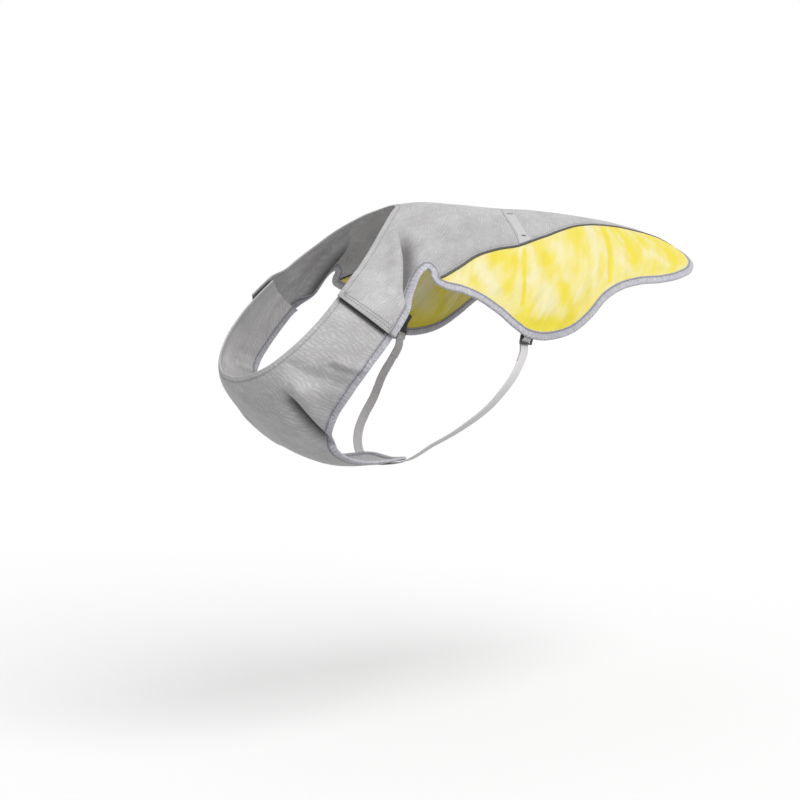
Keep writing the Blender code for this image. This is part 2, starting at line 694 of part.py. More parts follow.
def add_slider(side, route, start):
    """Three-bar slider: a plate with two slots, bent to the strap's run."""
    inside = SLIDER_WIDTH / 2 - SLIDER_RAIL
    columns = (-SLIDER_WIDTH / 2, -inside, inside, SLIDER_WIDTH / 2)
    rows = [start + SLIDER_BAR * bars + SLIDER_SLOT * slots
            for bars, slots in ((0, 0), (1, 0), (1, 1), (2, 1), (2, 2), (3, 2))]
    half = SLIDER_THICK / 2
    vertices = [on_route(route, s, x, SLIDER_HEIGHT + h)
                for h in (-half, half) for s in rows for x in columns]

    def corner(layer, row, column):
        return (layer * len(rows) + row) * len(columns) + column

    def filled(row, column):
        slot = column == 1 and row in (1, 3)
        return 0 <= row < len(rows) - 1 and 0 <= column < len(columns) - 1 and not slot

    faces = []
    for row in range(len(rows) - 1):
        for column in range(len(columns) - 1):
            if not filled(row, column):
                continue
            ring = ((row, column), (row, column + 1), (row + 1, column + 1), (row + 1, column))
            faces += [tuple(corner(layer, *spot) for spot in ring) for layer in (0, 1)]
            beyond = ((row - 1, column), (row, column + 1), (row + 1, column), (row, column - 1))
            for k, neighbour in enumerate(beyond):
                if not filled(*neighbour):
                    a, b = ring[k], ring[(k + 1) % 4]
                    faces.append((corner(0, *a), corner(0, *b), corner(1, *b), corner(1, *a)))
    slider = add_object("slider_" + side, vertices, faces, "black_plastic")
    bevel = slider.modifiers.new("rounded_edges", "BEVEL")
    bevel.width = 0.4 * MM
    bevel.segments = 1


def main():
    for old in list(bpy.data.objects):
        bpy.data.objects.remove(old, do_unlink=True)
    left_route = strap_route()
    right_route = left_route * (1, 1, -1) + (0, 0, TURN)
    start = slider_start(left_route)
    add_back_panel()
    add_chest_bib()
    add_bindings()
    add_belly_strap(left_route, start)
    for side, flip, route in (("left", False, left_route), ("right", True, right_route)):
        add_side_panel(side, flip)
        add_piping(side, flip)
        add_closure_tapes(side, flip)
        add_strap_anchor(side, flip)
        add_slider_tab(side, route, start)
        add_slider(side, route, start)


main()
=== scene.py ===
"""Looks of the dog cooling vest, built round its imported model.

Metres, +Z up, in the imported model's own frame: the wearer faces -Y and its left
side is +X. The inner face of the cloth is a tube of egg-shaped sections, as in
the solids: station t runs from the neck (0) to the rump (1), and phi runs round
each section from the ridge of the back (0) to the keel under the chest (pi),
positive on the wearer's left. Every piece of cloth is a region or a strip of
that tube, raised by the same folds, so that its layers stay together.
"""
import math

import bpy
import bmesh
import numpy as np
from mathutils import Matrix, Vector
from mathutils.geometry import delaunay_2d_cdt
from mathutils.kdtree import KDTree


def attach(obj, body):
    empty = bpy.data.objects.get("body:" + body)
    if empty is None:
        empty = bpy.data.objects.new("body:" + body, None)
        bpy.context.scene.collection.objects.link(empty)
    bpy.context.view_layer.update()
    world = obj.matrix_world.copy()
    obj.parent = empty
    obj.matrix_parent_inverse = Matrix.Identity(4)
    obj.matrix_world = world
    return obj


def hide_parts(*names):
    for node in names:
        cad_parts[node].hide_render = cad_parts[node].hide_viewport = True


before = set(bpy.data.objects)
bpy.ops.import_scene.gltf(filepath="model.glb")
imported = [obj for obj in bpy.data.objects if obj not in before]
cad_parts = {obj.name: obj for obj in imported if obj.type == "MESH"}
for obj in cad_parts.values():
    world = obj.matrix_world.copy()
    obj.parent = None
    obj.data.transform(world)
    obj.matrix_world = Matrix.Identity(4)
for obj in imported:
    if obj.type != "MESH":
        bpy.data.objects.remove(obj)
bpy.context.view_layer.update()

MM = 0.001
TURN = 2 * math.pi

# ---------------------------------------------------------------- sizes
PANEL = 2.0 * MM            # thickness of the mesh-faced panels
GAP = 0.3 * MM              # between pieces that touch at a seam
LAYER_GAP = 0.45 * MM       # between the layers of the solids
LAP_GAP = 0.8 * MM          # between the bindings where the strap laps the bib
PITCH = 2.0 * MM            # facets of the cloth
BIB_PITCH = 1.4 * MM        # and of the bib, for its steep fold
EDGE_STEP = 1.5 * MM        # facets along edges and trims

BINDING_WIDTH = 10 * MM
BINDING_WALL = 1.0 * MM
BINDING_STITCH = 8.2 * MM   # its stitch line, from the outer edge
BINDING_GATHER = 5.4 * MM   # from one stitched-down gather to the next
PIPING_WIDTH = 2.4 * MM
PIPING_HEIGHT = 2.9 * MM
TAPE = 1.0 * MM             # hook tape, loop tape and webbing
OVERLAP_PHI = 0.22          # how far the bib runs up under the strap end
LAP_RISE_PHI = 0.17         # the strap climbs over the bib in this angle
LAP_FRONT_T = 0.25          # only the shoulder straps climb, ahead of here
STRAP_FRONT_T = 0.45        # lines across a strap run from the neck to here
MIDDLE_T = 0.5              # parts an edge into its front and its rear
HOOK_SHOWS = 2.0 * MM       # of the hook tape below the strap end
TAPE_INSET = 2.0 * MM       # of the closure tapes from the bindings and the bib's end
TAPE_NECK_INSET = 4.0 * MM  # and from the raw neck edge
TOPSTITCH = 2.4 * MM        # beside the piping, on the back panel
SEAM_ALLOWANCE = 5.0 * MM   # turned under there
NECK_HEM = 6.0 * MM
STRAP_HEM = 7.0 * MM        # hem at the strap end, above the hook tape
STRAP_HEM_INNER = 4.2 * MM  # and its second, fainter line

STRAP_WIDTH = 11 * MM       # elastic belly strap
STRAP = 1.2 * MM
STRAP_TAIL = 40 * MM        # the adjusting tail ends this far below the slider's top
STRAP_SETTLES = 60 * MM     # below the slider the strap comes out to the form
ANCHOR_WIDTH = 20 * MM
ANCHOR_STITCH = 1.8 * MM    # its stitch lines, from its edges

SLIDER_BAR = 2.6 * MM
SLIDER_SLOT = 4.0 * MM
SLIDER_LENGTH = 3 * SLIDER_BAR + 2 * SLIDER_SLOT
SLIDER_THICK = 2.0 * MM
TAB_WIDTH = STRAP_WIDTH
TAB_LENGTH = 20 * MM        # sewn up inside the hem

# The sections: where each one crosses the ridge and the keel, its half width
# at mid height, and how far its widest place lies below the middle.
SECTIONS = np.array((
    # t, ridge_y, ridge_z, keel_y, keel_z, half_width, low
    (0.00, -0.262, -0.001, -0.460, -0.162, 0.075, 0.32),
    (0.10, -0.200, 0.006, -0.457, -0.210, 0.102, 0.29),
    (0.20, -0.155, 0.005, -0.407, -0.262, 0.115, 0.27),
    (0.32, -0.100, 0.003, -0.328, -0.298, 0.123, 0.22),
    (0.46, -0.025, 0.001, -0.203, -0.290, 0.126, 0.16),
    (0.62, 0.060, -0.005, -0.050, -0.268, 0.126, 0.10),
    (0.80, 0.155, -0.021, 0.110, -0.244, 0.119, 0.04),
    (1.00, 0.250, -0.060, 0.250, -0.238, 0.093, 0.00),
))

STRAP_END_PHI = 1.82        # the strap end, across the shoulder

# Outer edges of the pieces on the wearer's left, as rows of (t, phi).
NECK_EDGE = (
    (0.030, 0.00), (0.026, 0.15), (0.012, 0.45), (0.004, 0.80), (0.004, 1.20),
    (0.008, 1.50), (0.016, 1.82), (0.028, 2.10), (0.042, 2.40), (0.058, 2.75),
    (0.064, math.pi),
)
STRAP_EDGE = (              # armhole side of the shoulder strap, up to the notch
    (0.166, 1.90), (0.164, 1.82), (0.161, 1.71), (0.158, 1.60), (0.153, 1.50),
    (0.147, 1.40), (0.141, 1.30), (0.144, 1.242), (0.149, 1.222),
)
HEM_EDGE = (                # from the notch along the side and round the rump
    (0.155, 1.232), (0.161, 1.265), (0.175, 1.305), (0.200, 1.320),
    (0.245, 1.310), (0.292, 1.335), (0.342, 1.410), (0.389, 1.525),
    (0.420, 1.600), (0.450, 1.642), (0.487, 1.650), (0.524, 1.610),
    (0.554, 1.500), (0.581, 1.355), (0.615, 1.270), (0.667, 1.215),
    (0.726, 1.190), (0.785, 1.120), (0.838, 0.985), (0.880, 0.760),
    (0.902, 0.450), (0.908, 0.200), (0.909, 0.00),
)
SIDE_SEAM = (               # piped seam between the back and the side panel
    (0.150, 1.350), (0.179, 1.265), (0.212, 1.130), (0.254, 0.965),
    (0.308, 0.865), (0.357, 0.815), (0.399, 0.745), (0.439, 0.675),
    (0.478, 0.595), (0.526, 0.510), (0.584, 0.445), (0.655, 0.410),
    (0.730, 0.405), (0.810, 0.395), (0.880, 0.370), (0.940, 0.340),
)
BIB_EDGE = (                # from under the strap, down to the tongue's end
    (0.158, 1.60), (0.161, 1.71), (0.164, 1.82), (0.166, 1.90), (0.170, 2.06),
    (0.182, 2.28), (0.198, 2.48), (0.222, 2.64), (0.258, 2.755), (0.300, 2.815),
    (0.345, 2.838), (0.380, 2.848), (0.398, 2.870), (0.409, 2.920),
    (0.414, 3.00), (0.415, math.pi),
)
STRAP_LINE = (              # middle of the belly strap, from under the hem to the keel
    (0.424, 1.42), (0.427, 1.54), (0.432, 1.65), (0.440, 1.73), (0.442, 1.82),
    (0.438, 2.00), (0.432, 2.20), (0.420, 2.35), (0.409, 2.50), (0.400, 2.68),
    (0.396, 2.84), (0.395, math.pi),
)
SLIDER_PHI = 1.565          # upper edge of the slider, on that line
STRAP_CLIMB_PHI = (2.62, 2.78)  # the strap climbs onto the tongue in between
ANCHOR_LINE = (             # middle of the anchor tape on the back
    (0.352, 0.24), (0.350, 0.40), (0.354, 0.52), (0.363, 0.64), (0.372, 0.75),
    (0.384, 0.95),
)
ANCHOR_TOP_PHI = 0.30

# Lengths of one unit of t and of phi, for laying the panels out flat.
FLAT_T = 0.52
FLAT_PHI = 0.130
FLAT = np.array((FLAT_T, FLAT_PHI))

# ---------------------------------------------------------------- folds
# Each fold runs from (t0, phi0) to (t1, phi1), bowed sideways by bow in the
# middle. Widths are to the left and the right of its run, seen from outside with
# t to the right and phi down; height is over the cloth, or below zero a trough.
# crisp is 2 for a round fold and 1 for a sharp crease. A fold opens over a share of
# its length, and runs out over FOLD_TAPER of it at its end. It narrows there to
# FOLD_POINT of its width. Lengths are in millimetres.
FOLD_TAPER = 0.25
FOLD_POINT = 0.35
FOLDS = (
    # t0, phi0, t1, phi1, bow, left, right, height, crisp, opens
    (0.026, 0.74, 0.166, 1.68, 2, 13, 3.5, -13.5, 1.9, 0.38),  # shoulder, below the neck
    (0.018, 0.80, 0.136, 1.70, 3, 9, 9, 3.5, 2.0, 0.25),
    (0.105, 0.86, 0.165, 1.16, 2, 12, 9, 2.2, 2.0, 0.25),
    (0.100, 0.95, 0.152, 1.16, 0, 4, 5, 1.4, 1.5, 0.25),  # towards the notch
    (0.072, 1.44, 0.116, 1.74, 2, 4, 5, -1.3, 1.8, 0.25),  # soft folds down the strap
    (0.114, 1.50, 0.152, 1.76, -2, 4, 5, -1.2, 1.8, 0.25),
    (0.052, 1.36, 0.082, 1.74, 2, 6, 6, 0.9, 2.0, 0.25),
    (0.104, 2.65, 0.264, 2.76, -2, 3.4, 9.5, -10.5, 1.7, 0.28),  # pocket low on the bib
    (0.120, 2.66, 0.264, 2.765, -2, 3.0, 5.5, -4.5, 1.8, 0.32),
    (0.100, 2.54, 0.235, 2.64, 0, 10, 6, 3.5, 2.0, 0.25),
    (0.150, 2.84, 0.260, 2.90, 0, 8, 9, 1.6, 2.0, 0.25),
    (0.056, 2.52, 0.185, 2.18, 4, 9, 9, -3.6, 1.8, 0.25),  # bib, across the chest side
    (0.112, 2.21, 0.176, 2.06, 0, 7, 5, 1.8, 1.8, 0.25),
    (0.108, 2.22, 0.174, 2.10, 1, 3, 3, 1.3, 1.6, 0.25),  # its glint near the armhole
    (0.112, 2.27, 0.172, 2.15, 1, 3, 3, -1.9, 1.5, 0.25),
    (0.085, 2.68, 0.150, 2.46, 0, 9, 9, 1.2, 2.0, 0.25),
    (0.095, 2.84, 0.185, 3.01, 2, 6, 7, -1.6, 1.8, 0.25),  # streaks under the chest
    (0.105, 3.01, 0.225, 3.10, -2, 8, 8, -0.6, 1.8, 0.25),
    (0.365, 0.86, 0.402, 1.42, -2, 2.5, 6, -1.5, 1.4, 0.25),  # side panel, main crease
    (0.382, 0.80, 0.418, 1.38, -2, 8, 8, 1.2, 2.0, 0.25),
    (0.250, 1.00, 0.345, 1.26, 3, 6, 7, 1.6, 1.8, 0.25),  # from the front seam to the hem
    (0.292, 0.95, 0.330, 1.22, -2, 6, 6, -1.2, 1.8, 0.25),
    (0.425, 0.75, 0.470, 1.30, 4, 9, 8, -1.3, 2.0, 0.25),
    (0.470, 1.00, 0.520, 1.50, -3, 8, 9, -1.4, 2.0, 0.25),
    (0.566, 0.55, 0.550, 1.20, 2, 4, 5, 1.7, 1.7, 0.25),  # streaks at the loin
    (0.606, 0.50, 0.584, 1.22, 1, 4, 4, -2.0, 1.5, 0.25),
    (0.640, 0.50, 0.655, 1.10, 2, 5, 4, -1.8, 1.6, 0.25),
    (0.628, 0.80, 0.622, 1.18, 0, 4, 4, 1.5, 1.7, 0.25),
    (0.700, 0.50, 0.736, 1.10, -3, 6, 6, 1.4, 1.8, 0.25),
    (0.770, 0.48, 0.790, 1.00, 2, 5, 6, -1.4, 1.8, 0.25),
    (0.835, 0.45, 0.838, 0.90, 2, 6, 5, 1.2, 2.0, 0.25),
    (0.240, 0.34, 0.292, 0.86, 6, 14, 12, -1.5, 2.0, 0.25),  # long soft waves of the back
    (0.175, 0.36, 0.215, 0.95, -5, 13, 13, 1.2, 2.0, 0.25),
    (0.440, 0.25, 0.462, 0.58, 4, 13, 12, -1.0, 2.0, 0.25),
    (0.620, 0.10, 0.640, 0.38, 4, 12, 12, -0.8, 2.0, 0.25),
)
RIGHT_SHIFT_T = 0.012       # how unlike the left the right side's folds are
RIGHT_SHIFT_PHI = 0.05
RIGHT_HEIGHT = (0.85, 0.25)

# Painted light (above zero) and painted shade (below), as pale and deep patches of the cloth, each
# along a run from (t0, phi0) to (t1, phi1), in millimetres wide.
GREY_LIGHT_AND_SHADE = (
    # t0, phi0, t1, phi1, wide, pale
    (0.052, 1.52, 0.118, 1.66, 15, 0.8),                # the strap end
    (0.132, 1.42, 0.146, 1.70, 6, 0.5),
    (0.030, 2.02, 0.090, 2.00, 11, -0.6),               # the bib below it
    (0.080, 2.34, 0.130, 2.50, 14, 0.7),
    (0.155, 2.26, 0.176, 2.44, 9, -1.0),
    (0.150, 0.80, 0.300, 0.66, 20, -0.5),               # the back's flank
    (0.210, 1.08, 0.270, 0.86, 9, -0.6),
    (0.100, 0.20, 0.320, 0.20, 18, 0.4),
)
# Painted sheen (pale) and painted shade (deep) on the yellow nylon.
NYLON_SHEEN_AND_SHADE = (
    # t0, phi0, t1, phi1, wide, pale
    (0.215, 1.20, 0.262, 1.26, 7, 0.6),
    (0.258, 1.05, 0.290, 1.14, 7, 1.0),
    (0.290, 1.14, 0.340, 1.32, 8, 0.9),
    (0.300, 0.93, 0.350, 0.98, 9, -0.9),
    (0.330, 1.06, 0.340, 1.20, 6, -0.8),
    (0.370, 0.86, 0.389, 1.34, 2.0, -1.9),
    (0.360, 0.86, 0.366, 1.20, 4, 0.8),
    (0.388, 0.84, 0.394, 1.02, 3, 0.9),
    (0.405, 0.80, 0.430, 0.96, 10, -1.0),
    (0.402, 1.12, 0.450, 1.36, 12, 1.1),
    (0.452, 0.80, 0.480, 1.14, 8, 0.9),
    (0.395, 1.48, 0.500, 1.58, 11, -1.3),
    (0.470, 1.20, 0.500, 1.44, 6, -1.0),
    (0.498, 0.56, 0.520, 0.90, 9, -0.8),
    (0.520, 1.00, 0.510, 1.25, 9, 0.7),
    (0.560, 0.48, 0.548, 1.20, 5, 1.1),
    (0.590, 0.48, 0.576, 1.15, 3, 0.6),
    (0.606, 0.50, 0.584, 1.18, 3, -1.4),
    (0.630, 0.48, 0.636, 0.75, 4, -0.7),
    (0.620, 0.95, 0.645, 1.10, 7, 0.8),
    (0.650, 0.46, 0.660, 0.95, 4, -1.1),
    (0.690, 0.50, 0.700, 0.90, 4, 0.7),
    (0.720, 0.85, 0.760, 0.98, 7, 0.8),
    (0.760, 0.45, 0.790, 0.80, 6, -0.5),
    (0.800, 0.50, 0.880, 0.50, 10, -0.7),
    (0.840, 0.70, 0.870, 0.60, 5, 0.6),
)

# ---------------------------------------------------------------- the form
def through_rows(rows, x):
    """Smooth values at x through rows whose first column is x."""
    rows = np.asarray(rows, float)
    xs, ys = rows[:, 0], rows[:, 1:]
    x = np.clip(np.asarray(x, float), xs[0], xs[-1])
    step = np.diff(xs)
    chord = np.diff(ys, axis=0) / step[:, None]
    share = (step[:-1] / (step[:-1] + step[1:]))[:, None]
    slope = np.vstack((chord[:1], chord[:-1] * (1 - share) + chord[1:] * share, chord[-1:]))
    i = np.clip(np.searchsorted(xs, x, side="right") - 1, 0, len(xs) - 2)
    h = step[i][..., None]
    s = (x - xs[i])[..., None] / h
    ends = ys[i] * (1 + 2 * s) * (1 - s) ** 2 + ys[i + 1] * s * s * (3 - 2 * s)
    return ends + slope[i] * h * s * (1 - s) ** 2 - slope[i + 1] * h * s * s * (1 - s)


def tube(t, phi):
    """Point on the inner face of the cloth, before folds and laps."""
    sizes = np.moveaxis(through_rows(SECTIONS, t), -1, 0)
    ridge_y, ridge_z, keel_y, keel_z, half_width, low = sizes
    down = (1 - np.cos(phi)) / 2
    x = half_width * np.sin(phi) * (1 - low * np.cos(phi))
    y = ridge_y + (keel_y - ridge_y) * down
    z = ridge_z + (keel_z - ridge_z) * down
    return np.stack((x, y, z), axis=-1)


def tube_slopes(t, phi):
    """The tube's directions along t and along phi."""
    step = 1e-4
    t = np.clip(t, step, 1 - step)
    along = (tube(t + step, phi) - tube(t - step, phi)) / (2 * step)
    around = (tube(t, phi + step) - tube(t, phi - step)) / (2 * step)
    return along, around


def unit(vectors):
    return vectors / np.linalg.norm(vectors, axis=-1, keepdims=True)


def ease(x):
    """0 below 0, 1 above 1, smooth between."""
    x = np.clip(x, 0, 1)
    return x * x * (3 - 2 * x)


def round_the_keel(phi):
    """phi on the wearer's right counted back from the ridge, from -pi to pi."""
    return np.where(phi > math.pi, phi - TURN, phi)


def right_folds():
    """The left side's folds again on the right, each a little different."""
    rows = []
    for k, (t0, phi0, t1, phi1, bow, left, right, height, crisp, opens) in enumerate(FOLDS):
        shift = RIGHT_SHIFT_T * math.sin(2.4 * k)
        turn = RIGHT_SHIFT_PHI * math.sin(1.7 * k + 1)
        factor = RIGHT_HEIGHT[0] + RIGHT_HEIGHT[1] * math.sin(3.1 * k + 2)
        rows.append((t0 + shift, -phi0 + turn, t1 + shift / 2, -phi1 + turn / 2,
                     -bow, right, left, height * factor, crisp, opens))
    return tuple(rows)


ALL_FOLDS = FOLDS + right_folds()
FOLD_REACH = 2.6            # widths beyond which a fold is flat
FOLD_CUTS = 9               # points along a bowed fold
NEAR_KEEL_PHI = 2.2         # a fold beyond this may reach over the keel


def one_fold(here, row):
    """Height of one fold at flat points, on both sides of its bowed line."""
    t0, phi0, t1, phi1, bow, left, right, height, crisp, opens = row
    start, end = np.array((t0, phi0)) * FLAT, np.array((t1, phi1)) * FLAT
    run = end - start
    across = np.array((-run[1], run[0])) / np.linalg.norm(run)
    reach = FOLD_REACH * max(left, right) * MM + abs(bow) * MM
    low, high = np.minimum(start, end) - reach, np.maximum(start, end) + reach
    near = np.flatnonzero(((here > low) & (here < high)).all(axis=-1))
    total = np.zeros(len(here))
    if not len(near):
        return total
    cuts = np.linspace(0, 1, FOLD_CUTS)[:, None]
    path = start + run * cuts + across * bow * MM * 4 * cuts * (1 - cuts)
    points = here[near]
    best = np.full(len(near), np.inf)
    side, share = np.zeros(len(near)), np.zeros(len(near))
    for k in range(FOLD_CUTS - 1):
        piece = path[k + 1] - path[k]
        to = points - path[k]
        s = np.clip(to @ piece / (piece @ piece), 0, 1)
        off = np.linalg.norm(to - s[:, None] * piece, axis=1)
        closer = off < best
        best = np.where(closer, off, best)
        side = np.where(closer, piece[0] * to[:, 1] - piece[1] * to[:, 0], side)
        share = np.where(closer, (k + s) / (FOLD_CUTS - 1), share)
    taper = ease(share / opens) * ease((1 - share) / FOLD_TAPER)
    width = np.where(side < 0, left, right) * MM * (FOLD_POINT + (1 - FOLD_POINT) * taper)
    total[near] = height * MM * taper * np.exp(-(best / width) ** crisp)
    return total


def painted_light_at(spots, patches):
    """How much painted light (above zero) or painted shade (below) the cloth has at (t, phi), from
    its patches, the same on both sides.
    """
    here = np.column_stack((spots[:, 0], np.abs(round_the_keel(spots[:, 1])))) * FLAT
    total = np.zeros(len(here))
    for t0, phi0, t1, phi1, wide, pale in patches:
        start, end = np.array((t0, phi0)) * FLAT, np.array((t1, phi1)) * FLAT
        run = end - start
        share = np.clip((here - start) @ run / (run @ run), 0, 1)
        off = np.linalg.norm(here - start - share[:, None] * run, axis=1)
        total += pale * np.exp(-(off / (wide * MM)) ** 2)
    return total


def noise(here, scale, seed):
    """Smooth noise from -1 to 1 whose lumps are about scale wide."""
    size = 64
    table = np.random.default_rng(seed).uniform(-1, 1, (size, size))
    spot = here / scale
    cell = np.floor(spot).astype(int)
    u, v = np.moveaxis(ease(spot - cell), -1, 0)
    i, j = np.moveaxis(cell % size, -1, 0)
    i1, j1 = (i + 1) % size, (j + 1) % size
    return ((table[i, j] * (1 - u) + table[i1, j] * u) * (1 - v)
            + (table[i, j1] * (1 - u) + table[i1, j1] * u) * v)


def creased(here, scale, seed):
    """Noise with sharp ridges from 0 to 1, as in crumpled cloth."""
    return (1 - np.abs(noise(here, scale, seed))) ** 2


CRUMPLE_STRETCH = np.array((1.0, 0.5))     # the nylon's crumples run mostly downwards


def crumples(spots):
    """Height of the crumples of the nylon, in metres."""
    here = spots * FLAT * CRUMPLE_STRETCH
    return MM * (1.5 * creased(here, 22 * MM, 21) + 0.5 * creased(here, 10 * MM, 22)
                 + 0.10 * noise(here, 5 * MM, 23) - 1.0)


UNEVEN = (                  # all of the cloth, besides its folds
    # height and width of its lumps in millimetres, seed
    (0.50, 38, 11),
    (0.18, 15, 12),
)


def fold_height(t, phi):
    """Height of the folds over the tube at (t, phi)."""
    t, phi = np.broadcast_arrays(np.asarray(t, float), np.asarray(phi, float))
    phi = round_the_keel(phi)
    here = np.stack((t.ravel(), phi.ravel()), axis=-1) * FLAT
    total = np.zeros(len(here))
    for row in ALL_FOLDS:
        total += one_fold(here, row)
        if max(abs(row[1]), abs(row[3])) > NEAR_KEEL_PHI:
            round_again = np.array((0, math.copysign(TURN * FLAT_PHI, row[1])))
            total += one_fold(here + round_again, row)
    for height, wide, seed in UNEVEN:
        total += height * MM * noise(here, wide * MM, seed)
    return total.reshape(t.shape)


LAP_LIFT = PANEL + 2 * (LAYER_GAP + BINDING_WALL) + LAP_GAP


def lap_height(t, phi):
    """How far a shoulder strap lies out where it laps over the bib."""
    risen = ease((np.abs(phi) - (STRAP_END_PHI - OVERLAP_PHI - LAP_RISE_PHI)) / LAP_RISE_PHI)
    return LAP_LIFT * risen * (t < LAP_FRONT_T)


def no_lap(t, phi):
    """The same for a piece that laps over nothing."""
    return 0.0 * np.asarray(t, float)


def place(t, phi, height, lap=no_lap):
    """Point at a height over the inner face of the cloth, folds and lap included."""
    along, around = tube_slopes(t, phi)
    out = unit(np.cross(around, along))
    lift = height + fold_height(t, phi) + lap(t, phi)
    return tube(t, phi) + out * np.asarray(lift)[..., None]


# ---------------------------------------------------------------- lines on the form
def path_lengths(points):
    """Distance of each point of a path from its start."""
    steps = np.linalg.norm(np.diff(points, axis=0), axis=1)
    return np.concatenate(((0,), np.cumsum(steps)))


def lengths_along(points):
    """Distances on the form along a line of (t, phi)."""
    return path_lengths(tube(*points.T))


def line(rows, step=EDGE_STEP):
    """Smooth line through rows of (t, phi), cut about every step between its rows."""
    rows = np.array(rows, float)
    where = lengths_along(rows)
    cuts = [np.linspace(a, b, max(1, round((b - a) / step)), endpoint=False)
            for a, b in zip(where, where[1:])]
    cuts = np.append(np.concatenate(cuts), where[-1])
    return through_rows(np.column_stack((where, rows)), cuts)


def mirrored(points, turn=0.0):
    """The line on the wearer's other side; turn is TURN where it passes the keel."""
    return points * (1, -1) + (0, turn)


def both_sides(points, turn=0.0):
    """A line that ends in the middle, continued to its mirror image."""
    return np.vstack((points, mirrored(points[-2::-1], turn)))


def moved(points, run, offset):
    """Points of (t, phi) moved across a run; positive is to its left, seen from outside."""
    along, around = tube_slopes(*points.T)
    side = np.cross(unit(np.cross(around, along)), unit(run))
    basis = np.stack((along, around), axis=-1)
    return points + (np.linalg.pinv(basis) @ side[..., None])[..., 0] * offset


def beside(points, offset):
    """A line moved sideways in the surface."""
    return moved(points, np.gradient(tube(*points.T), axis=0), offset)


def crossing(first, second):
    """Where a line is first crossed by another: the step of the line, and the point."""
    a, b = first[:-1, None], np.diff(first, axis=0)[:, None]
    c, d = second[None, :-1], np.diff(second, axis=0)[None]
    turn = b[..., 0] * d[..., 1] - b[..., 1] * d[..., 0]
    turn = np.where(turn == 0, np.nan, turn)
    s = ((c - a)[..., 0] * d[..., 1] - (c - a)[..., 1] * d[..., 0]) / turn
    u = ((c - a)[..., 0] * b[..., 1] - (c - a)[..., 1] * b[..., 0]) / turn
    i, j = np.argwhere((0 <= s) & (s <= 1) & (0 <= u) & (u <= 1))[0]
    return i, first[i] + s[i, j] * b[i, 0]


def from_crossing(points, start):
    """The rest of a line from where another one first crosses it."""
    i, corner = crossing(points, start)
    rest = points[i + 1:]
    too_near = np.linalg.norm(tube(*rest[0]) - tube(*corner)) < GAP
    return np.vstack((corner, rest[1:] if too_near else rest))


def between(points, start, end):
    """The stretch of a line from the line that crosses its start to the one at its end."""
    return from_crossing(from_crossing(points, start)[::-1], end)[::-1]


def outline_of(*lines):
    """Closed outline of lines in their order round it, each cut by its two neighbours."""
    sides = [between(side, lines[k - 1], lines[(k + 1) % len(lines)])
             for k, side in enumerate(lines)]
    return np.vstack([side[:-1] for side in sides])


def front_of(points):
    return points[points[:, 0] < MIDDLE_T]


def rear_of(points):
    return points[points[:, 0] > MIDDLE_T]


# ---------------------------------------------------------------- cloth lengths
# Distances on the tube from the ridge and from the neck, on a grid, so that the
# weave has one scale everywhere.
GRID_T = np.linspace(0, 1, 161)
GRID_PHI = np.linspace(-math.pi - 0.4, TURN, 361)


def grid_lengths():
    """Length round each section from the ridge, and along the tube from the neck."""
    t, phi = np.meshgrid(GRID_T, GRID_PHI, indexing="ij")
    points = tube(t, phi)
    steps_around = np.diff(points, axis=1, prepend=points[:, :1])
    steps_along = np.diff(points, axis=0, prepend=points[:1])
    around = np.cumsum(np.linalg.norm(steps_around, axis=-1), 1)
    along = np.cumsum(np.linalg.norm(steps_along, axis=-1), 0)
    ridge = np.argmin(np.abs(GRID_PHI))
    return along, around - around[:, ridge:ridge + 1]


ALONG, AROUND = grid_lengths()


def cloth_place(t, phi):
    """(along, around) in metres on the cloth, for the weave."""
    x = np.interp(t, GRID_T, np.arange(len(GRID_T)))
    y = np.interp(phi, GRID_PHI, np.arange(len(GRID_PHI)))
    i = np.clip(x.astype(int), 0, len(GRID_T) - 2)
    j = np.clip(y.astype(int), 0, len(GRID_PHI) - 2)
    u, v = x - i, y - j
    found = [(g[i, j] * (1 - u) + g[i + 1, j] * u) * (1 - v)
             + (g[i, j + 1] * (1 - u) + g[i + 1, j + 1] * u) * v for g in (ALONG, AROUND)]
    return np.column_stack(found)


# ---------------------------------------------------------------- meshes
def add_mesh(name, vertices, faces, look, places=None, **values):
    """A mesh object of one material. places are the vertices' spots on the cloth, as its
    UV map, and values are named numbers on the vertices, which the material reads."""
    mesh = bpy.data.meshes.new(name)
    mesh.from_pydata([tuple(v) for v in vertices], [], [tuple(f) for f in faces])
    if places is not None:
        corners = np.zeros(len(mesh.loops), np.int32)
        mesh.loops.foreach_get("vertex_index", corners)
        layer = mesh.uv_layers.new(name="cloth")
        layer.data.foreach_set("uv", np.asarray(places, np.float32)[corners].ravel())
    for key, numbers in values.items():
        attribute = mesh.attributes.new(key, "FLOAT", "POINT")
        attribute.data.foreach_set("value", np.asarray(numbers, np.float32))
    mesh.materials.append(look)
    work = bmesh.new()
    work.from_mesh(mesh)
    bmesh.ops.recalc_face_normals(work, faces=work.faces)
    work.to_mesh(mesh)
    work.free()
    mesh.shade_smooth()
    piece = bpy.data.objects.new(name, mesh)
    bpy.context.scene.collection.objects.link(piece)
    return piece


def settle(piece, slot, *nodes):
    """The piece rides on the one body, in place of its solids."""
    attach(piece, "root")
    if nodes:
        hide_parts(*nodes)


def inside_outline(points, outline):
    """Whether each flat point is inside a closed outline."""
    inside = np.zeros(len(points), bool)
    for p, q in zip(outline, np.roll(outline, -1, axis=0)):
        spans = (p[1] > points[:, 1]) != (q[1] > points[:, 1])
        if q[1] != p[1]:
            share = (points[:, 1] - p[1]) / (q[1] - p[1])
            inside ^= spans & (points[:, 0] < p[0] + share * (q[0] - p[0]))
    return inside


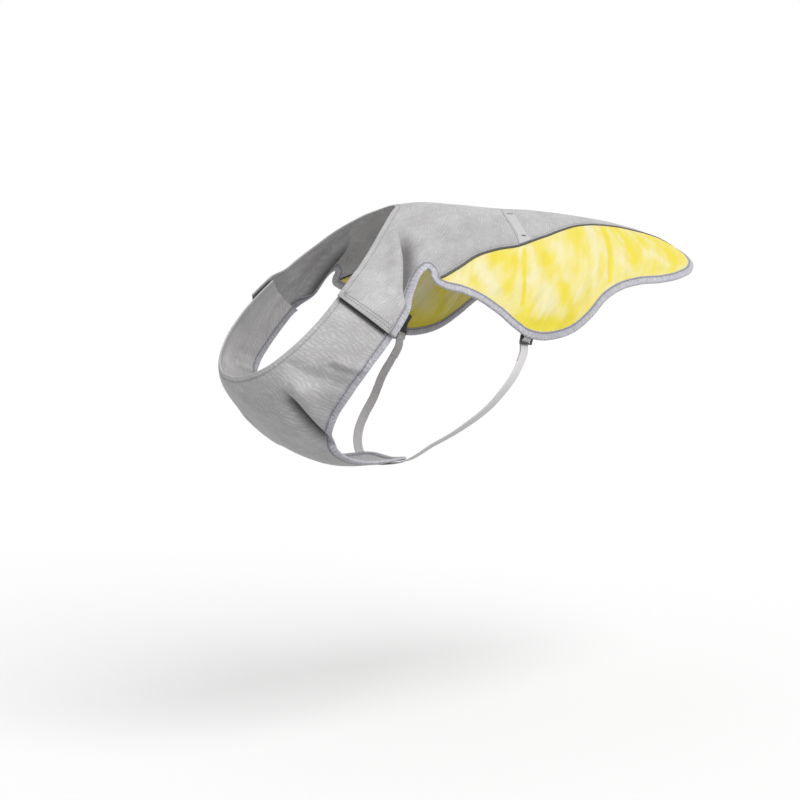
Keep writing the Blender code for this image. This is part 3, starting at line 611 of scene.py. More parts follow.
def off_line(points, path):
    """Distance of flat points to a flat line, and the length along it."""
    tree = KDTree(len(path))
    for k, spot in enumerate(path):
        tree.insert((*spot, 0), k)
    tree.balance()
    found = [tree.find((*spot, 0)) for spot in points]
    nearest = np.array([hit[1] for hit in found])
    length = path_lengths(path)
    run = unit(np.gradient(path, axis=0))[nearest]
    to = points - path[nearest]
    ahead = np.einsum("ij,ij->i", to, run)
    off = np.abs(to[:, 0] * run[:, 1] - to[:, 1] * run[:, 0])
    beyond = ((nearest == 0) & (ahead < 0)) | ((nearest == len(path) - 1) & (ahead > 0))
    return np.where(beyond, np.hypot(off, ahead), off), length[nearest] + ahead


def lattice(low, high, pitch):
    """Staggered rows of (t, phi) that cover the space between two corners."""
    step_phi = pitch / FLAT_PHI
    step_t = pitch / FLAT_T * math.sqrt(3) / 2
    rows = np.arange(math.floor(low[0] / step_t), math.ceil(high[0] / step_t) + 1)
    columns = np.arange(math.floor(low[1] / step_phi) - 1, math.ceil(high[1] / step_phi) + 1)
    row, column = np.meshgrid(rows, columns, indexing="ij")
    return np.column_stack((row.ravel() * step_t, (column + row % 2 / 2).ravel() * step_phi))


RIM_STEPS = (0.3 * MM, 0.9 * MM)    # rows of facets that round a raw edge
RIM = 1.2 * MM                      # and how far in it is rounded
RIM_LEFT = 0.35                     # of the wall's thickness at the very edge
RIM_CLEAR = 0.6                     # of the first row's step: no point lies nearer the edge
GRID_CLEAR = 0.45                   # of the pitch, from the last row to the rest


def covering(outline, pitch):
    """Points and triangles that cover a closed outline, and each point's distance to it."""
    ring = np.vstack((outline, outline[:1]))
    rims = [beside(ring, sign * step)[:-1] for sign in (-1, 1) for step in RIM_STEPS]
    flat_outline = outline * FLAT
    rims = [rim[inside_outline(rim * FLAT, flat_outline)] for rim in rims]
    grid = lattice(outline.min(axis=0), outline.max(axis=0), pitch)
    grid = grid[inside_outline(grid * FLAT, flat_outline)]
    dense = np.vstack((ring[:-1], (ring[:-1] + ring[1:]) / 2)) * FLAT
    off, _ = off_line(grid * FLAT, dense)
    grid = grid[off > RIM_STEPS[-1] + GRID_CLEAR * pitch]
    inner = np.vstack((*rims, grid))
    off, _ = off_line(inner * FLAT, dense)
    inner = inner[off > RIM_CLEAR * RIM_STEPS[0]]
    points = np.vstack((outline, inner)) * FLAT
    count = len(outline)
    border = [(i, (i + 1) % count) for i in range(count)]
    corners, _, triangles, _, _, _ = delaunay_2d_cdt(
        [(phi, t) for t, phi in points], border, [], 1, 1e-7)
    phi, t = np.array([tuple(c) for c in corners]).T / FLAT[::-1, None]
    spots = np.column_stack((t, phi))
    off = np.zeros(len(spots))
    off[count:], _ = off_line(spots[count:] * FLAT, dense)
    return spots, triangles, off


FAR = 0.1                   # from every seam
RIDGE_SHEEN_RISE = 0.35            # painted sheen: how much paler the nylon is for each millimetre it rises, and painted shade, deeper, where it sinks
CRUMPLE_STARTS = 7 * MM     # over which the nylon rises from where it is sewn
HEM_SLOPE = 2.2 * MM        # over which a turned hem steps down to the single cloth


def nearest_line(spots, lines):
    """Distance of each spot to the nearest of some lines, and the length along that one."""
    off, run = np.full(len(spots), FAR), np.zeros(len(spots))
    for path in lines:
        this_off, this_run = off_line(spots * FLAT, path * FLAT)
        closer = this_off < off
        off, run = np.where(closer, this_off, off), np.where(closer, this_run, run)
    return off, run


def add_shell(name, outline, bottom, top, look, lap=no_lap, pitch=PITCH, sewn=(), hems=(),
              relief=None, flat_by=(), patches=()):
    """A panel of cloth: the region inside a closed line of (t, phi), as a thin shell with a
    rounded edge. It is sewn along some lines, and turned over along its hems, which are pairs of a
    line and a width. relief(spots) lifts it, but not within the widths of the lines in flat_by.
    patches are rows of pale and deep places: painted light and painted shade."""
    spots, triangles, off = covering(outline, pitch)
    t, phi = spots.T
    thick = RIM_LEFT + (1 - RIM_LEFT) * np.sqrt(1 - (1 - np.clip(off / RIM, 0, 1)) ** 2)
    middle, half = (top + bottom) / 2, (top - bottom) / 2
    raised = relief(spots) if relief else np.zeros(len(spots))
    for path, width in flat_by:
        to_edge, _ = off_line(spots * FLAT, path * FLAT)
        raised *= ease((to_edge - width) / CRUMPLE_STARTS)
    outer = place(t, phi, middle + half * thick + raised, lap)
    inner = place(t, phi, middle - half * thick + raised, lap)
    total = len(spots)
    edges = {(f[k], f[(k + 1) % 3]) for f in triangles for k in range(3)}
    faces = [tuple(f) for f in triangles]
    faces += [tuple(i + total for i in reversed(f)) for f in triangles]
    faces += [(b, a, a + total, b + total) for a, b in edges if (b, a) not in edges]
    spot = cloth_place(t, phi)
    sewn_off, sewn_run = nearest_line(spots, sewn)
    hem = np.zeros(total)
    for path, width in hems:
        to_edge, _ = off_line(spots * FLAT, path * FLAT)
        hem = np.maximum(hem, ease((width - to_edge) / HEM_SLOPE + 0.5))
    values = {
        # fold height, which the grey cloth also reads for its painted shade deep in folds
        "fold": fold_height(t, phi) / MM,
        # pale: painted light, or painted shade below zero, from the patches and from the height of
        # the relief
        "pale": painted_light_at(spots, patches) + raised / MM * RIDGE_SHEEN_RISE,
        "sewn_off": sewn_off / MM,
        "sewn_run": sewn_run / MM,
        "hem": hem,
    }
    values = {key: np.concatenate((numbers, numbers)) for key, numbers in values.items()}
    return add_mesh(name, np.vstack((outer, inner)), faces, look, np.vstack((spot, spot)),
                    **values)


def ring_faces(count, around):
    """Facets between a count of closed rings, each with the same number of points."""
    faces = []
    for i in range(count - 1):
        a, b = i * around, (i + 1) * around
        for j in range(around):
            after = (j + 1) % around
            faces.append((a + j, a + after, b + after, b + j))
    return faces


def add_tube(name, rails, spots, look, **values):
    """A tube with fans at both ends. rails are the lines of points along its corners,
    and spots are their places on the cloth."""
    rings, spots = np.stack(rails, axis=1), np.stack(spots, axis=1)
    count, around = rings.shape[:2]
    k = np.arange(around)
    faces = ring_faces(count, around)
    ends = rings[[0, -1]].mean(axis=1)
    middle = count * around
    faces += [(middle, (j + 1) % around, j) for j in k]
    last = (count - 1) * around
    faces += [(middle + 1, last + j, last + (j + 1) % around) for j in k]
    vertices = np.vstack((rings.reshape(-1, 3), ends))
    places = np.vstack((spots.reshape(-1, 2), spots[0].mean(0), spots[-1].mean(0)))
    return add_mesh(name, vertices, faces, look, places, **values)


# ---------------------------------------------------------------- materials
WHITE = (1.0, 1.0, 1.0)


def join(tree, value, socket):
    """Feeds a socket with what another node gives, or with a plain number or colour."""
    if isinstance(value, Value):
        tree.links.new(value.socket, socket)
    elif isinstance(value, tuple):
        socket.default_value = (*value, 1.0)
    else:
        socket.default_value = value


def mix(tree, blend, share, first, second):
    """One colour blended over another, by a share from 0 to 1."""
    node = tree.nodes.new("ShaderNodeMix")
    node.data_type = "RGBA"
    node.blend_type = blend
    join(tree, share, node.inputs["Factor"])
    join(tree, first, node.inputs[6])
    join(tree, second, node.inputs[7])
    return Value(tree, node.outputs[2])


class Value:
    """What a node gives at each point of a surface: a number, a place or a colour."""

    def __init__(self, tree, socket):
        self.tree = tree
        self.socket = socket

    def maths(self, operation, other=0.0):
        node = self.tree.nodes.new("ShaderNodeMath")
        node.operation = operation
        join(self.tree, self, node.inputs[0])
        join(self.tree, other, node.inputs[1])
        return Value(self.tree, node.outputs[0])

    def __add__(self, other):
        return self.maths("ADD", other)

    def __sub__(self, other):
        return self.maths("SUBTRACT", other)

    def __mul__(self, other):
        return self.maths("MULTIPLY", other)

    def wave(self):
        """A wave from 0 to 1 for each whole turn of this phase."""
        return (self * TURN).maths("SINE") * 0.5 + 0.5

    def remap(self, low, high, to_low=0.0, to_high=1.0):
        """A number that changes smoothly while this one goes from low to high."""
        node = self.tree.nodes.new("ShaderNodeMapRange")
        node.interpolation_type = "SMOOTHSTEP"
        join(self.tree, self, node.inputs["Value"])
        ends = {"From Min": low, "From Max": high, "To Min": to_low, "To Max": to_high}
        for key, number in ends.items():
            node.inputs[key].default_value = number
        return Value(self.tree, node.outputs["Result"])

    def blend(self, low, high):
        """The colour between two, by this share from 0 to 1."""
        return mix(self.tree, "MIX", self, low, high)

    def tinted(self, other):
        """This colour times another."""
        return mix(self.tree, "MULTIPLY", 1.0, self, other)


def ribs(u, v, angle, pitch):
    """Waves across the cloth at an angle from its length."""
    return (u * (math.cos(angle) / pitch) + v * (math.sin(angle) / pitch)).wave()


PUCKER = 2.6                # millimetres, along a seam
PUCKER_STRETCH = 0.22       # how much more slowly they change away from it
PUCKER_FADES = 3.0          # millimetres, away from it
GROOVE_SHARP = 1.2          # of the thread's groove, for each square millimetre
GROOVE_DEPTH = 0.35         # of the gathers' height


class Look:
    """A Principled material, and what its nodes are made from."""

    def __init__(self, name, colour, roughness, **inputs):
        self.material = bpy.data.materials.new(name)
        self.material.use_nodes = True
        self.tree = self.material.node_tree
        self.shader = self.tree.nodes["Principled BSDF"]
        self.shader.inputs["Base Color"].default_value = (*colour, 1.0)
        self.shader.inputs["Roughness"].default_value = roughness
        for key, value in inputs.items():
            self.shader.inputs[key.replace("_", " ")].default_value = value

    def on_cloth(self):
        """The spot on the cloth, from its UV map, and its metres along and around."""
        node = self.tree.nodes.new("ShaderNodeUVMap")
        node.uv_map = "cloth"
        parts = self.tree.nodes.new("ShaderNodeSeparateXYZ")
        self.tree.links.new(node.outputs["UV"], parts.inputs[0])
        sockets = node.outputs["UV"], parts.outputs["X"], parts.outputs["Y"]
        return [Value(self.tree, socket) for socket in sockets]

    def on_object(self):
        node = self.tree.nodes.new("ShaderNodeTexCoord")
        return Value(self.tree, node.outputs["Object"])

    def vertex_value(self, name):
        node = self.tree.nodes.new("ShaderNodeAttribute")
        node.attribute_name = name
        return Value(self.tree, node.outputs["Fac"])

    def lumps(self, where, size, detail=2.0, stretch=(1.0, 1.0, 1.0)):
        """Noise from 0 to 1 with lumps about size metres wide, and longer where stretch
        is less than 1."""
        mapping = self.tree.nodes.new("ShaderNodeMapping")
        mapping.inputs["Scale"].default_value = stretch
        join(self.tree, where, mapping.inputs["Vector"])
        node = self.tree.nodes.new("ShaderNodeTexNoise")
        node.inputs["Scale"].default_value = 1 / size
        node.inputs["Detail"].default_value = detail
        self.tree.links.new(mapping.outputs["Vector"], node.inputs["Vector"])
        return Value(self.tree, node.outputs["Fac"])

    def puckers(self, height):
        """Small gathers across the lines where the cloth is sewn, with the groove of the
        thread; also how near the sewn line is, and how near the groove."""
        off = self.vertex_value("sewn_off")
        node = self.tree.nodes.new("ShaderNodeCombineXYZ")
        join(self.tree, self.vertex_value("sewn_run"), node.inputs[0])
        join(self.tree, off * PUCKER_STRETCH, node.inputs[1])
        gathers = self.lumps(Value(self.tree, node.outputs[0]), PUCKER, 1.0)
        near = (off * (-1 / PUCKER_FADES)).maths("EXPONENT")
        groove = (off * off * -GROOVE_SHARP).maths("EXPONENT")
        return gathers * near * height + groove * (-GROOVE_DEPTH * height), near, groove

    def finished(self, colour, height=None):
        """The material with its colour, and with bumps of a height in metres."""
        join(self.tree, colour, self.shader.inputs["Base Color"])
        if height is not None:
            node = self.tree.nodes.new("ShaderNodeBump")
            node.inputs["Strength"].default_value = 1.0
            node.inputs["Distance"].default_value = 1.0
            join(self.tree, height, node.inputs["Height"])
            self.tree.links.new(node.outputs["Normal"], self.shader.inputs["Normal"])
        return self.material


# Ribs of the grey cloth: turns for each metre along and around the cloth, and how
# much the first of them changes for each further metre.
BACK_RIBS = (270, 72, 0)
BIB_RIBS = (-380, 213, 4000)
RIB_WOBBLE = 2.2            # turns
BACK_TONE = 0.96
BIB_TONE = 1.08             # the bib's cloth is a little lighter
MESH_YARN = 1.3 * MM        # short yarns across the ribs
MESH_COLOURS = (0.268, 0.262, 0.261), (0.312, 0.307, 0.311)
MESH_WOVEN = (0.84, 0.84, 0.85), (1.06, 1.06, 1.05)     # tints between the ribs and on them
MESH_LIGHT_AND_SHADE_TINTS = (0.88, 0.88, 0.88), (1.12, 1.12, 1.12)   # and of its patches of painted shade and painted light
FOLD_SHADE_COLOUR = (0.12, 0.11, 0.105)  # painted shade: how much of its colour the cloth keeps deep in a fold
FOLD_SHADE_DEPTHS = -17.0, -2.0          # millimetres of fold depth, where the painted shade is that dark and where it starts
GREY_GROOVE = (0.88, 0.88, 0.89)     # tint along a sewn line


def grey_mesh(name, along, around, bend, tone):
    """Silver-grey cloth with wavy ribs made of short yarns, a little lighter or darker by its
    tone, with painted light and shade in its patches and painted shade deep in its folds."""
    look = Look(name, (0.27, 0.265, 0.27), 0.6, Sheen_Weight=0.08, Specular_IOR_Level=0.3)
    where, u, v = look.on_cloth()
    wobble = (look.lumps(where, 13 * MM) - 0.5) * RIB_WOBBLE
    rib = (u * (u * (bend / 2) + along) + v * around + wobble).wave()
    yarn = ribs(u, v, math.atan2(along, -around), MESH_YARN)
    strength = look.lumps(where, 8 * MM, 3.0).remap(0.34, 0.66, 0.1, 1.0)
    grain = look.lumps(where, 1.6 * MM, 3.0)
    relief = (rib * (0.13 * MM) + yarn * (0.04 * MM)) * strength
    gathers, _, groove = look.puckers(1.1 * MM)
    hem = look.vertex_value("hem") * (0.55 * MM)

    dark, light = (tuple(tone * value for value in colour) for colour in MESH_COLOURS)
    colour = look.lumps(where, 40 * MM, 3.0).remap(0.3, 0.7).blend(dark, light)
    # painted light and painted shade from the patches
    light_and_shade = look.vertex_value("pale").remap(-1.0, 1.0)
    woven = rib * strength + (grain - 0.5) * 1.2
    # painted shade: the cloth darkens with the depth of its folds
    fold_shade = look.vertex_value("fold").remap(*FOLD_SHADE_DEPTHS)
    colour = colour.tinted(light_and_shade.blend(*MESH_LIGHT_AND_SHADE_TINTS)).tinted(woven.blend(*MESH_WOVEN))
    colour = colour.tinted(fold_shade.blend(FOLD_SHADE_COLOUR, WHITE))
    colour = colour.tinted(groove.blend(WHITE, GREY_GROOVE))
    return look.finished(colour, relief + grain * (0.32 * MM) + gathers + hem)


def yellow_nylon():
    """Thin crumpled nylon, half glossy, with painted sheen on its ridges and painted shade in its
    hollows.
    """
    look = Look("yellow_nylon", (0.44, 0.39, 0.11), 0.5, Specular_IOR_Level=0.3)
    where, u, v = look.on_cloth()
    cloudy = look.lumps(where, 24 * MM, 3.0, (1.0, 0.4, 1.0)).remap(0.36, 0.64, -0.5, 0.5)
    streaky = look.lumps(where, 7 * MM, 3.0, (1.0, 0.22, 1.0)) - 0.5
    gathers, sewn, _ = look.puckers(1.2 * MM)
    pale = look.vertex_value("pale")
    # painted sheen towards the pale colour and painted shade towards the deep one, spread by
    # noise, the listed patches, the crumples' height and the sewn lines
    share = (cloudy * 0.5 + pale * 0.62 + streaky * 1.1 + sewn * 0.25).remap(-0.65, 0.95)
    weave = ribs(u, v, 0.0, 0.55 * MM) + ribs(u, v, math.pi / 2, 0.55 * MM)
    fine = look.lumps(where, 9 * MM, 2.0, (1.0, 0.6, 1.0)) * (0.5 * MM)
    colour = share.blend((0.432, 0.362, 0.020), (0.446, 0.410, 0.225))
    return look.finished(colour, fine + gathers + weave * (0.010 * MM))


def light_binding():
    """Grosgrain tape: pale lavender grey, ribbed across and gathered by its stitches."""
    look = Look("light_binding", (0.34, 0.335, 0.37), 0.6, Sheen_Weight=0.08)
    where, u, v = look.on_cloth()
    rib = ribs(u, v, 0.0, 1.3 * MM)
    drawn = (u * (1 / BINDING_GATHER) + look.lumps(where, 9 * MM) * 3.0).wave()
    gather = drawn * look.lumps(where, 14 * MM).remap(0.35, 0.65, 0.25, 1.0)
    grain = look.lumps(where, 1.8 * MM)
    gathers, sewn, groove = look.puckers(1.0 * MM)
    # paler on the swells of its gathers, a painted highlight, and darker towards its stitch line
    share = gather * 0.45 + (grain - 0.5) * 1.4 + 0.35 + sewn * -0.40
    colour = share.blend((0.190, 0.188, 0.205), (0.365, 0.362, 0.400))
    colour = colour.tinted(groove.blend(WHITE, (0.55, 0.55, 0.60)))
    height = rib * (0.09 * MM) + gather * (0.25 * MM) + gathers + grain * (0.3 * MM)
    return look.finished(colour, height)


def dark_piping():
    """Charcoal sleeve over a cord, with a slanting weave."""
    look = Look("dark_piping", (0.06, 0.06, 0.06), 0.6, Sheen_Weight=0.15)
    where, u, v = look.on_cloth()
    weave = ribs(u, v, math.radians(45), 0.9 * MM)
    lumpy = look.lumps(where, 3 * MM)
    colour = (weave * 0.5 + lumpy * 0.6).blend((0.012, 0.0115, 0.012), (0.040, 0.038, 0.039))
    return look.finished(colour, weave * (0.07 * MM) + lumpy * (0.3 * MM))


def black_hook():
    """Hook tape: a black base between rows of hooks."""
    look = Look("black_hook", (0.02, 0.02, 0.02), 0.8)
    _, u, v = look.on_cloth()
    rows = ribs(u, v, 0.0, 1.2 * MM) * ribs(u, v, math.pi / 2, 1.0 * MM)
    colour = rows.blend((0.012, 0.012, 0.013), (0.045, 0.045, 0.047))
    return look.finished(colour, rows * (0.3 * MM))


def grey_loop():
    """Loop tape: a soft grey nap."""
    look = Look("grey_loop", (0.3, 0.3, 0.31), 0.95, Sheen_Weight=0.4)
    where, _, _ = look.on_cloth()
    nap = look.lumps(where, 1.2 * MM, 4.0)
    return look.finished(nap.blend((0.22, 0.22, 0.23), (0.38, 0.38, 0.39)), nap * (0.5 * MM))


def grey_elastic():
    """Woven elastic: ribs along it, crossed by fine yarns."""
    look = Look("grey_elastic", (0.46, 0.45, 0.46), 0.65, Sheen_Weight=0.1)
    _, u, v = look.on_cloth()
    rib = ribs(u, v, math.pi / 2, 1.5 * MM)
    yarn = ribs(u, v, 0.0, 0.9 * MM)
    colour = (rib * 0.6 + yarn * 0.3).blend((0.33, 0.32, 0.325), (0.47, 0.46, 0.475))
    return look.finished(colour, rib * (0.16 * MM) + yarn * (0.05 * MM))


def anchor_tape():
    """Flat woven tape, as grey as the back under it, with darker sewn edges."""
    look = Look("anchor_tape", (0.29, 0.285, 0.29), 0.62, Sheen_Weight=0.08)
    where, u, v = look.on_cloth()
    weave = ribs(u, v, 0.6, 1.1 * MM) * ribs(u, v, 0.6 + math.pi / 2, 1.1 * MM)
    grain = look.lumps(where, 1.3 * MM)
    gathers, _, groove = look.puckers(0.7 * MM)
    colour = (weave * 0.5 + grain * 0.5).blend((0.255, 0.250, 0.252), (0.335, 0.330, 0.338))
    colour = colour.tinted(groove.blend(WHITE, GREY_GROOVE))
    return look.finished(colour, weave * (0.10 * MM) + grain * (0.2 * MM) + gathers)


def black_webbing():
    """Black tape with a herringbone weave."""
    look = Look("black_webbing", (0.03, 0.03, 0.03), 0.75)
    _, u, v = look.on_cloth()
    weave = ribs(u, v.maths("PINGPONG", 2.5 * MM), math.radians(50), 1.0 * MM)
    colour = weave.blend((0.015, 0.015, 0.016), (0.045, 0.045, 0.046))
    return look.finished(colour, weave * (0.1 * MM))


def black_plastic():
    """Moulded black plastic with a fine grain."""
    look = Look("black_plastic", (0.015, 0.015, 0.016), 0.38)
    grain = look.lumps(look.on_object(), 0.6 * MM, 1.0)
    colour = grain.blend((0.012, 0.012, 0.013), (0.024, 0.024, 0.025))
    return look.finished(colour, grain * (0.02 * MM))


def thread(name, dark, light):
    """Sewing thread, twisted."""
    look = Look(name, light, 0.55)
    twist = look.lumps(look.on_object(), 0.7 * MM, 1.0)
    return look.finished(twist.blend(dark, light))


# ---------------------------------------------------------------- edges shared by the pieces
EDGE_INSET = BINDING_WALL + LAYER_GAP       # a bound panel ends inside its binding
SEAM_INSET = PIPING_WIDTH / 2 + GAP


def left_body_edge(offset=0.0):
    """Bound edge from the left strap end, by the notch, to the middle of the rump."""
    return beside(line(STRAP_EDGE + HEM_EDGE), offset)


def left_hem(offset=0.0):
    """The bound edge behind the notch."""
    return left_body_edge(offset)[len(line(STRAP_EDGE)) - 1:]


def bib_edge():
    """Bound edge of the bib from the right strap, by the tongue's end, to the left one."""
    return both_sides(line(BIB_EDGE), TURN)[::-1]


def neck_edge(turn=0.0):
    """Neck edge from right to left, over the ridge, or under the keel with turn=TURN."""
    left = line(NECK_EDGE)
    return both_sides(left, turn) if turn else both_sides(left[::-1])[::-1]


def across(phi):
    """A line along the tube at one phi, such as a strap end."""
    return line(((0.0, phi), (STRAP_FRONT_T / 2, phi), (STRAP_FRONT_T, phi)))


def side_seam(offset=0.0):
    """Piped seam between the back and the left side panel, from the front."""
    return beside(line(SIDE_SEAM), offset)


# ---------------------------------------------------------------- the panels
def add_back_panel(cloth):
    """Back and both shoulder straps in one cut."""
    edge = left_body_edge(EDGE_INSET)
    front = front_of(edge)
    rump = both_sides(rear_of(edge))
    seam = side_seam(SEAM_INSET)
    ends = across(STRAP_END_PHI), across(-STRAP_END_PHI)
    outline = outline_of(
        neck_edge(), ends[0], front, seam, rump,
        mirrored(seam)[::-1], mirrored(front)[::-1], ends[1][::-1])
    topstitch = side_seam(SEAM_INSET + TOPSTITCH)
    sewn = [topstitch, mirrored(topstitch), beside(neck_edge(), NECK_HEM)]
    sewn += [across(sign * (STRAP_END_PHI - STRAP_HEM / FLAT_PHI)) for sign in (1, -1)]
    sewn += [both_sides(left_body_edge(BINDING_STITCH))]
    hems = [(neck_edge(), NECK_HEM), (ends[0], STRAP_HEM), (ends[1], STRAP_HEM)]
    hems += [(seam, SEAM_ALLOWANCE), (mirrored(seam), SEAM_ALLOWANCE)]
    panel = add_shell("back_panel_cloth", outline, 0.0, PANEL, cloth, lap=lap_height,
                      sewn=sewn, hems=hems, patches=GREY_LIGHT_AND_SHADE)
    settle(panel, "grey_mesh", "back_panel")


def add_side_panel(side, flip, cloth):
    """Yellow panel between the seam and the hem."""
    outline = outline_of(left_hem(EDGE_INSET), side_seam(-SEAM_INSET)[::-1])
    sewn = [side_seam(-SEAM_INSET), left_hem(BINDING_STITCH)]
    flat_by = [(side_seam(-SEAM_INSET), GAP), (left_hem(), BINDING_WIDTH)]
    if flip:
        outline = mirrored(outline)[::-1]
        sewn = [mirrored(path) for path in sewn]
        flat_by = [(mirrored(path), width) for path, width in flat_by]
    panel = add_shell("side_panel_cloth_" + side, outline, 0.0, PANEL, cloth, sewn=sewn,
                      relief=crumples, flat_by=flat_by, patches=NYLON_SHEEN_AND_SHADE)
    settle(panel, "yellow_nylon", "side_panel_" + side)


def add_chest_bib(cloth):
    """Bib round the chest, with the tongue that runs back between the front legs."""
    top = STRAP_END_PHI - OVERLAP_PHI
    edge = beside(bib_edge(), EDGE_INSET)
    neck = neck_edge(TURN)
    outline = outline_of(neck, across(TURN - top), edge, across(top)[::-1])
    sewn = [beside(neck, NECK_HEM), beside(bib_edge(), BINDING_STITCH)]
    panel = add_shell("chest_bib_cloth", outline, 0.0, PANEL, cloth, sewn=sewn,
                      hems=[(neck, NECK_HEM)], patches=GREY_LIGHT_AND_SHADE, pitch=BIB_PITCH)
    settle(panel, "grey_mesh", "chest_bib")


# ---------------------------------------------------------------- stitches
STITCH_EVERY = 3.0 * MM
STITCH_LONG = 2.3 * MM
STITCH_THICK = 0.46 * MM
STITCH_SIDES = 6
# One stitch: places along it, its thickness there, and how it bows up between its holes.
STITCH_SHAPE = np.array((
    # along, thick, rise
    (-0.50, 0.30, -0.50),
    (-0.36, 0.85, 0.00),
    (0.00, 1.00, 0.25),
    (0.36, 0.85, 0.00),
    (0.50, 0.30, -0.50),
))
STITCH_FLAT = 0.8           # of its thickness, outwards
STITCH_OVER_CLOTH = 0.5 * STITCH_THICK  # its middle, over the outer face
STITCH_OVER_TAPE = 0.4 * STITCH_THICK
STITCH_AIM = 0.4 * MM       # its direction is that of the line this far ahead and behind


def stitch_line(path, height, lap=no_lap, side=1, every=STITCH_EVERY, crosswise=False):
    """Middles, directions and outward directions of the stitches along a line of (t, phi)."""
    points = place(*path.T, height, lap)
    above = place(*path.T, height + side * MM, lap)
    walked = path_lengths(points)
    cuts = np.arange(every / 2, walked[-1], every)

    def at(lengths, vectors):
        return np.column_stack([np.interp(lengths, walked, axis) for axis in vectors.T])

    ahead = unit(at(cuts + STITCH_AIM, points) - at(cuts - STITCH_AIM, points))
    out = unit(at(cuts, above - points))
    return at(cuts, points), np.cross(out, ahead) if crosswise else ahead, out


def add_stitches(name, lines, look):
    """Many stitches as one mesh."""
    middles, ahead, out = (np.concatenate(part) for part in zip(*lines))
    side = np.cross(ahead, out)
    rings = []
    for along, share, rise in STITCH_SHAPE:
        centre = middles + ahead * along * STITCH_LONG + out * rise * STITCH_THICK
        radius = share * STITCH_THICK / 2
        ring = [centre + (side * math.cos(a) + out * math.sin(a) * STITCH_FLAT) * radius
                for a in TURN * np.arange(STITCH_SIDES) / STITCH_SIDES]
        rings.append(np.stack(ring, axis=1))
    rings = np.stack(rings, axis=1)
    count, long, around = rings.shape[:3]
    k = np.arange(around)
    one = ring_faces(long, around) + [tuple(k[::-1]), tuple((long - 1) * around + k)]
    faces = [tuple(c + n * long * around for c in face) for n in range(count) for face in one]
    return add_mesh(name, rings.reshape(-1, 3), faces, look)


# ---------------------------------------------------------------- edges and seams
LEG_CLEAR = 0.15 * MM       # between the binding's legs and the cloth
BINDING_PROFILE = (         # inwards from its edge, over the middle of the cloth, millimetres
    (10.0, 1.22), (9.7, 1.50), (9.0, 1.62), (8.2, 1.46), (7.2, 1.64), (5.5, 1.82),
    (3.5, 1.88), (2.0, 1.80), (1.0, 1.52), (0.35, 1.05), (0.05, 0.50),
)
BINDING_FOLD = (1.1, 0.6)   # corner of the tape's inner face in the fold, millimetres
BINDING_INNER = (2.0, 6.0, 10.0)  # points of that face along its legs
BINDING_SWELL = 0.11        # of its height, between two stitches that hold it down
STITCH_RISE = 0.12 * MM     # of its stitches over the tape
BINDING_RISE = STITCH_RISE + MM * float(
    np.interp(BINDING_STITCH / MM, *np.array(BINDING_PROFILE)[::-1].T))


def binding_profile():
    """Closed section of the folded tape: (inwards from the edge, height), in metres."""
    outer = [(x * MM, y * MM) for x, y in BINDING_PROFILE]
    inner = [(BINDING_FOLD[0] * MM, BINDING_FOLD[1] * MM)]
    inner += [(x * MM, PANEL / 2 + LEG_CLEAR) for x in BINDING_INNER]
    outer_below, inner_below = ([(x, -y) for x, y in reversed(leg)] for leg in (outer, inner))
    section = outer + [(0.0, 0.0)] + outer_below + inner_below + inner
    return [(x, PANEL / 2 + y) for x, y in section]


def gathered(run):
    """How much a binding swells at each length along it, unevenly, from 0 to 1."""
    here = np.column_stack((run, np.zeros(len(run))))
    turns = run / BINDING_GATHER + 0.6 * noise(here, 11 * MM, 31)
    return (1 + np.sin(TURN * turns) * (0.65 + 0.35 * noise(here, 17 * MM, 32))) / 2


def add_binding(name, edge, lap, tape):
    """Folded tape round a panel's edge, swelling a little between its stitches."""
    profile = binding_profile()
    run = lengths_along(edge)
    swell = 1 + BINDING_SWELL * gathered(run)
    rails, spots, off = [], [], []
    walked = 0.0
    previous = profile[0]
    for x, height in profile:
        walked += math.hypot(x - previous[0], height - previous[1])
        previous = (x, height)
        swollen = PANEL / 2 + (height - PANEL / 2) * swell
        rails.append(place(*beside(edge, x).T, swollen, lap))
        spots.append(np.column_stack((run, np.full(len(run), walked))))
        off.append(np.full(len(run), abs(x - BINDING_STITCH) / MM))
    off = np.append(np.stack(off, axis=1), (FAR, FAR))
    along = np.append(np.repeat(run, len(profile)) / MM, (0, 0))
    return add_tube(name + "_tape", rails, spots, tape, sewn_off=off, sewn_run=along)


def add_bindings(tape, thread_look):
    """Both bindings, each with its seam, which goes through to the inside."""
    ends = across(STRAP_END_PHI), across(-STRAP_END_PHI)
    bindings = (
        # name, edge, how it laps, length before it is stretched
        ("body_binding", between(both_sides(left_body_edge()), *ends), lap_height, 1.40),
        ("bib_binding", bib_edge(), no_lap, 0.73),
    )
    for name, edge, lap, cut in bindings:
        binding = add_binding(name, edge, lap, tape)
        seam = beside(edge, BINDING_STITCH)[2:-2]
        lines = [stitch_line(seam, PANEL / 2 + side * BINDING_RISE, lap, side) for side in (1, -1)]
        threads = add_stitches(name + "_stitches", lines, thread_look)
        settle(binding, "light_binding", name)
        settle(threads, "light_binding")


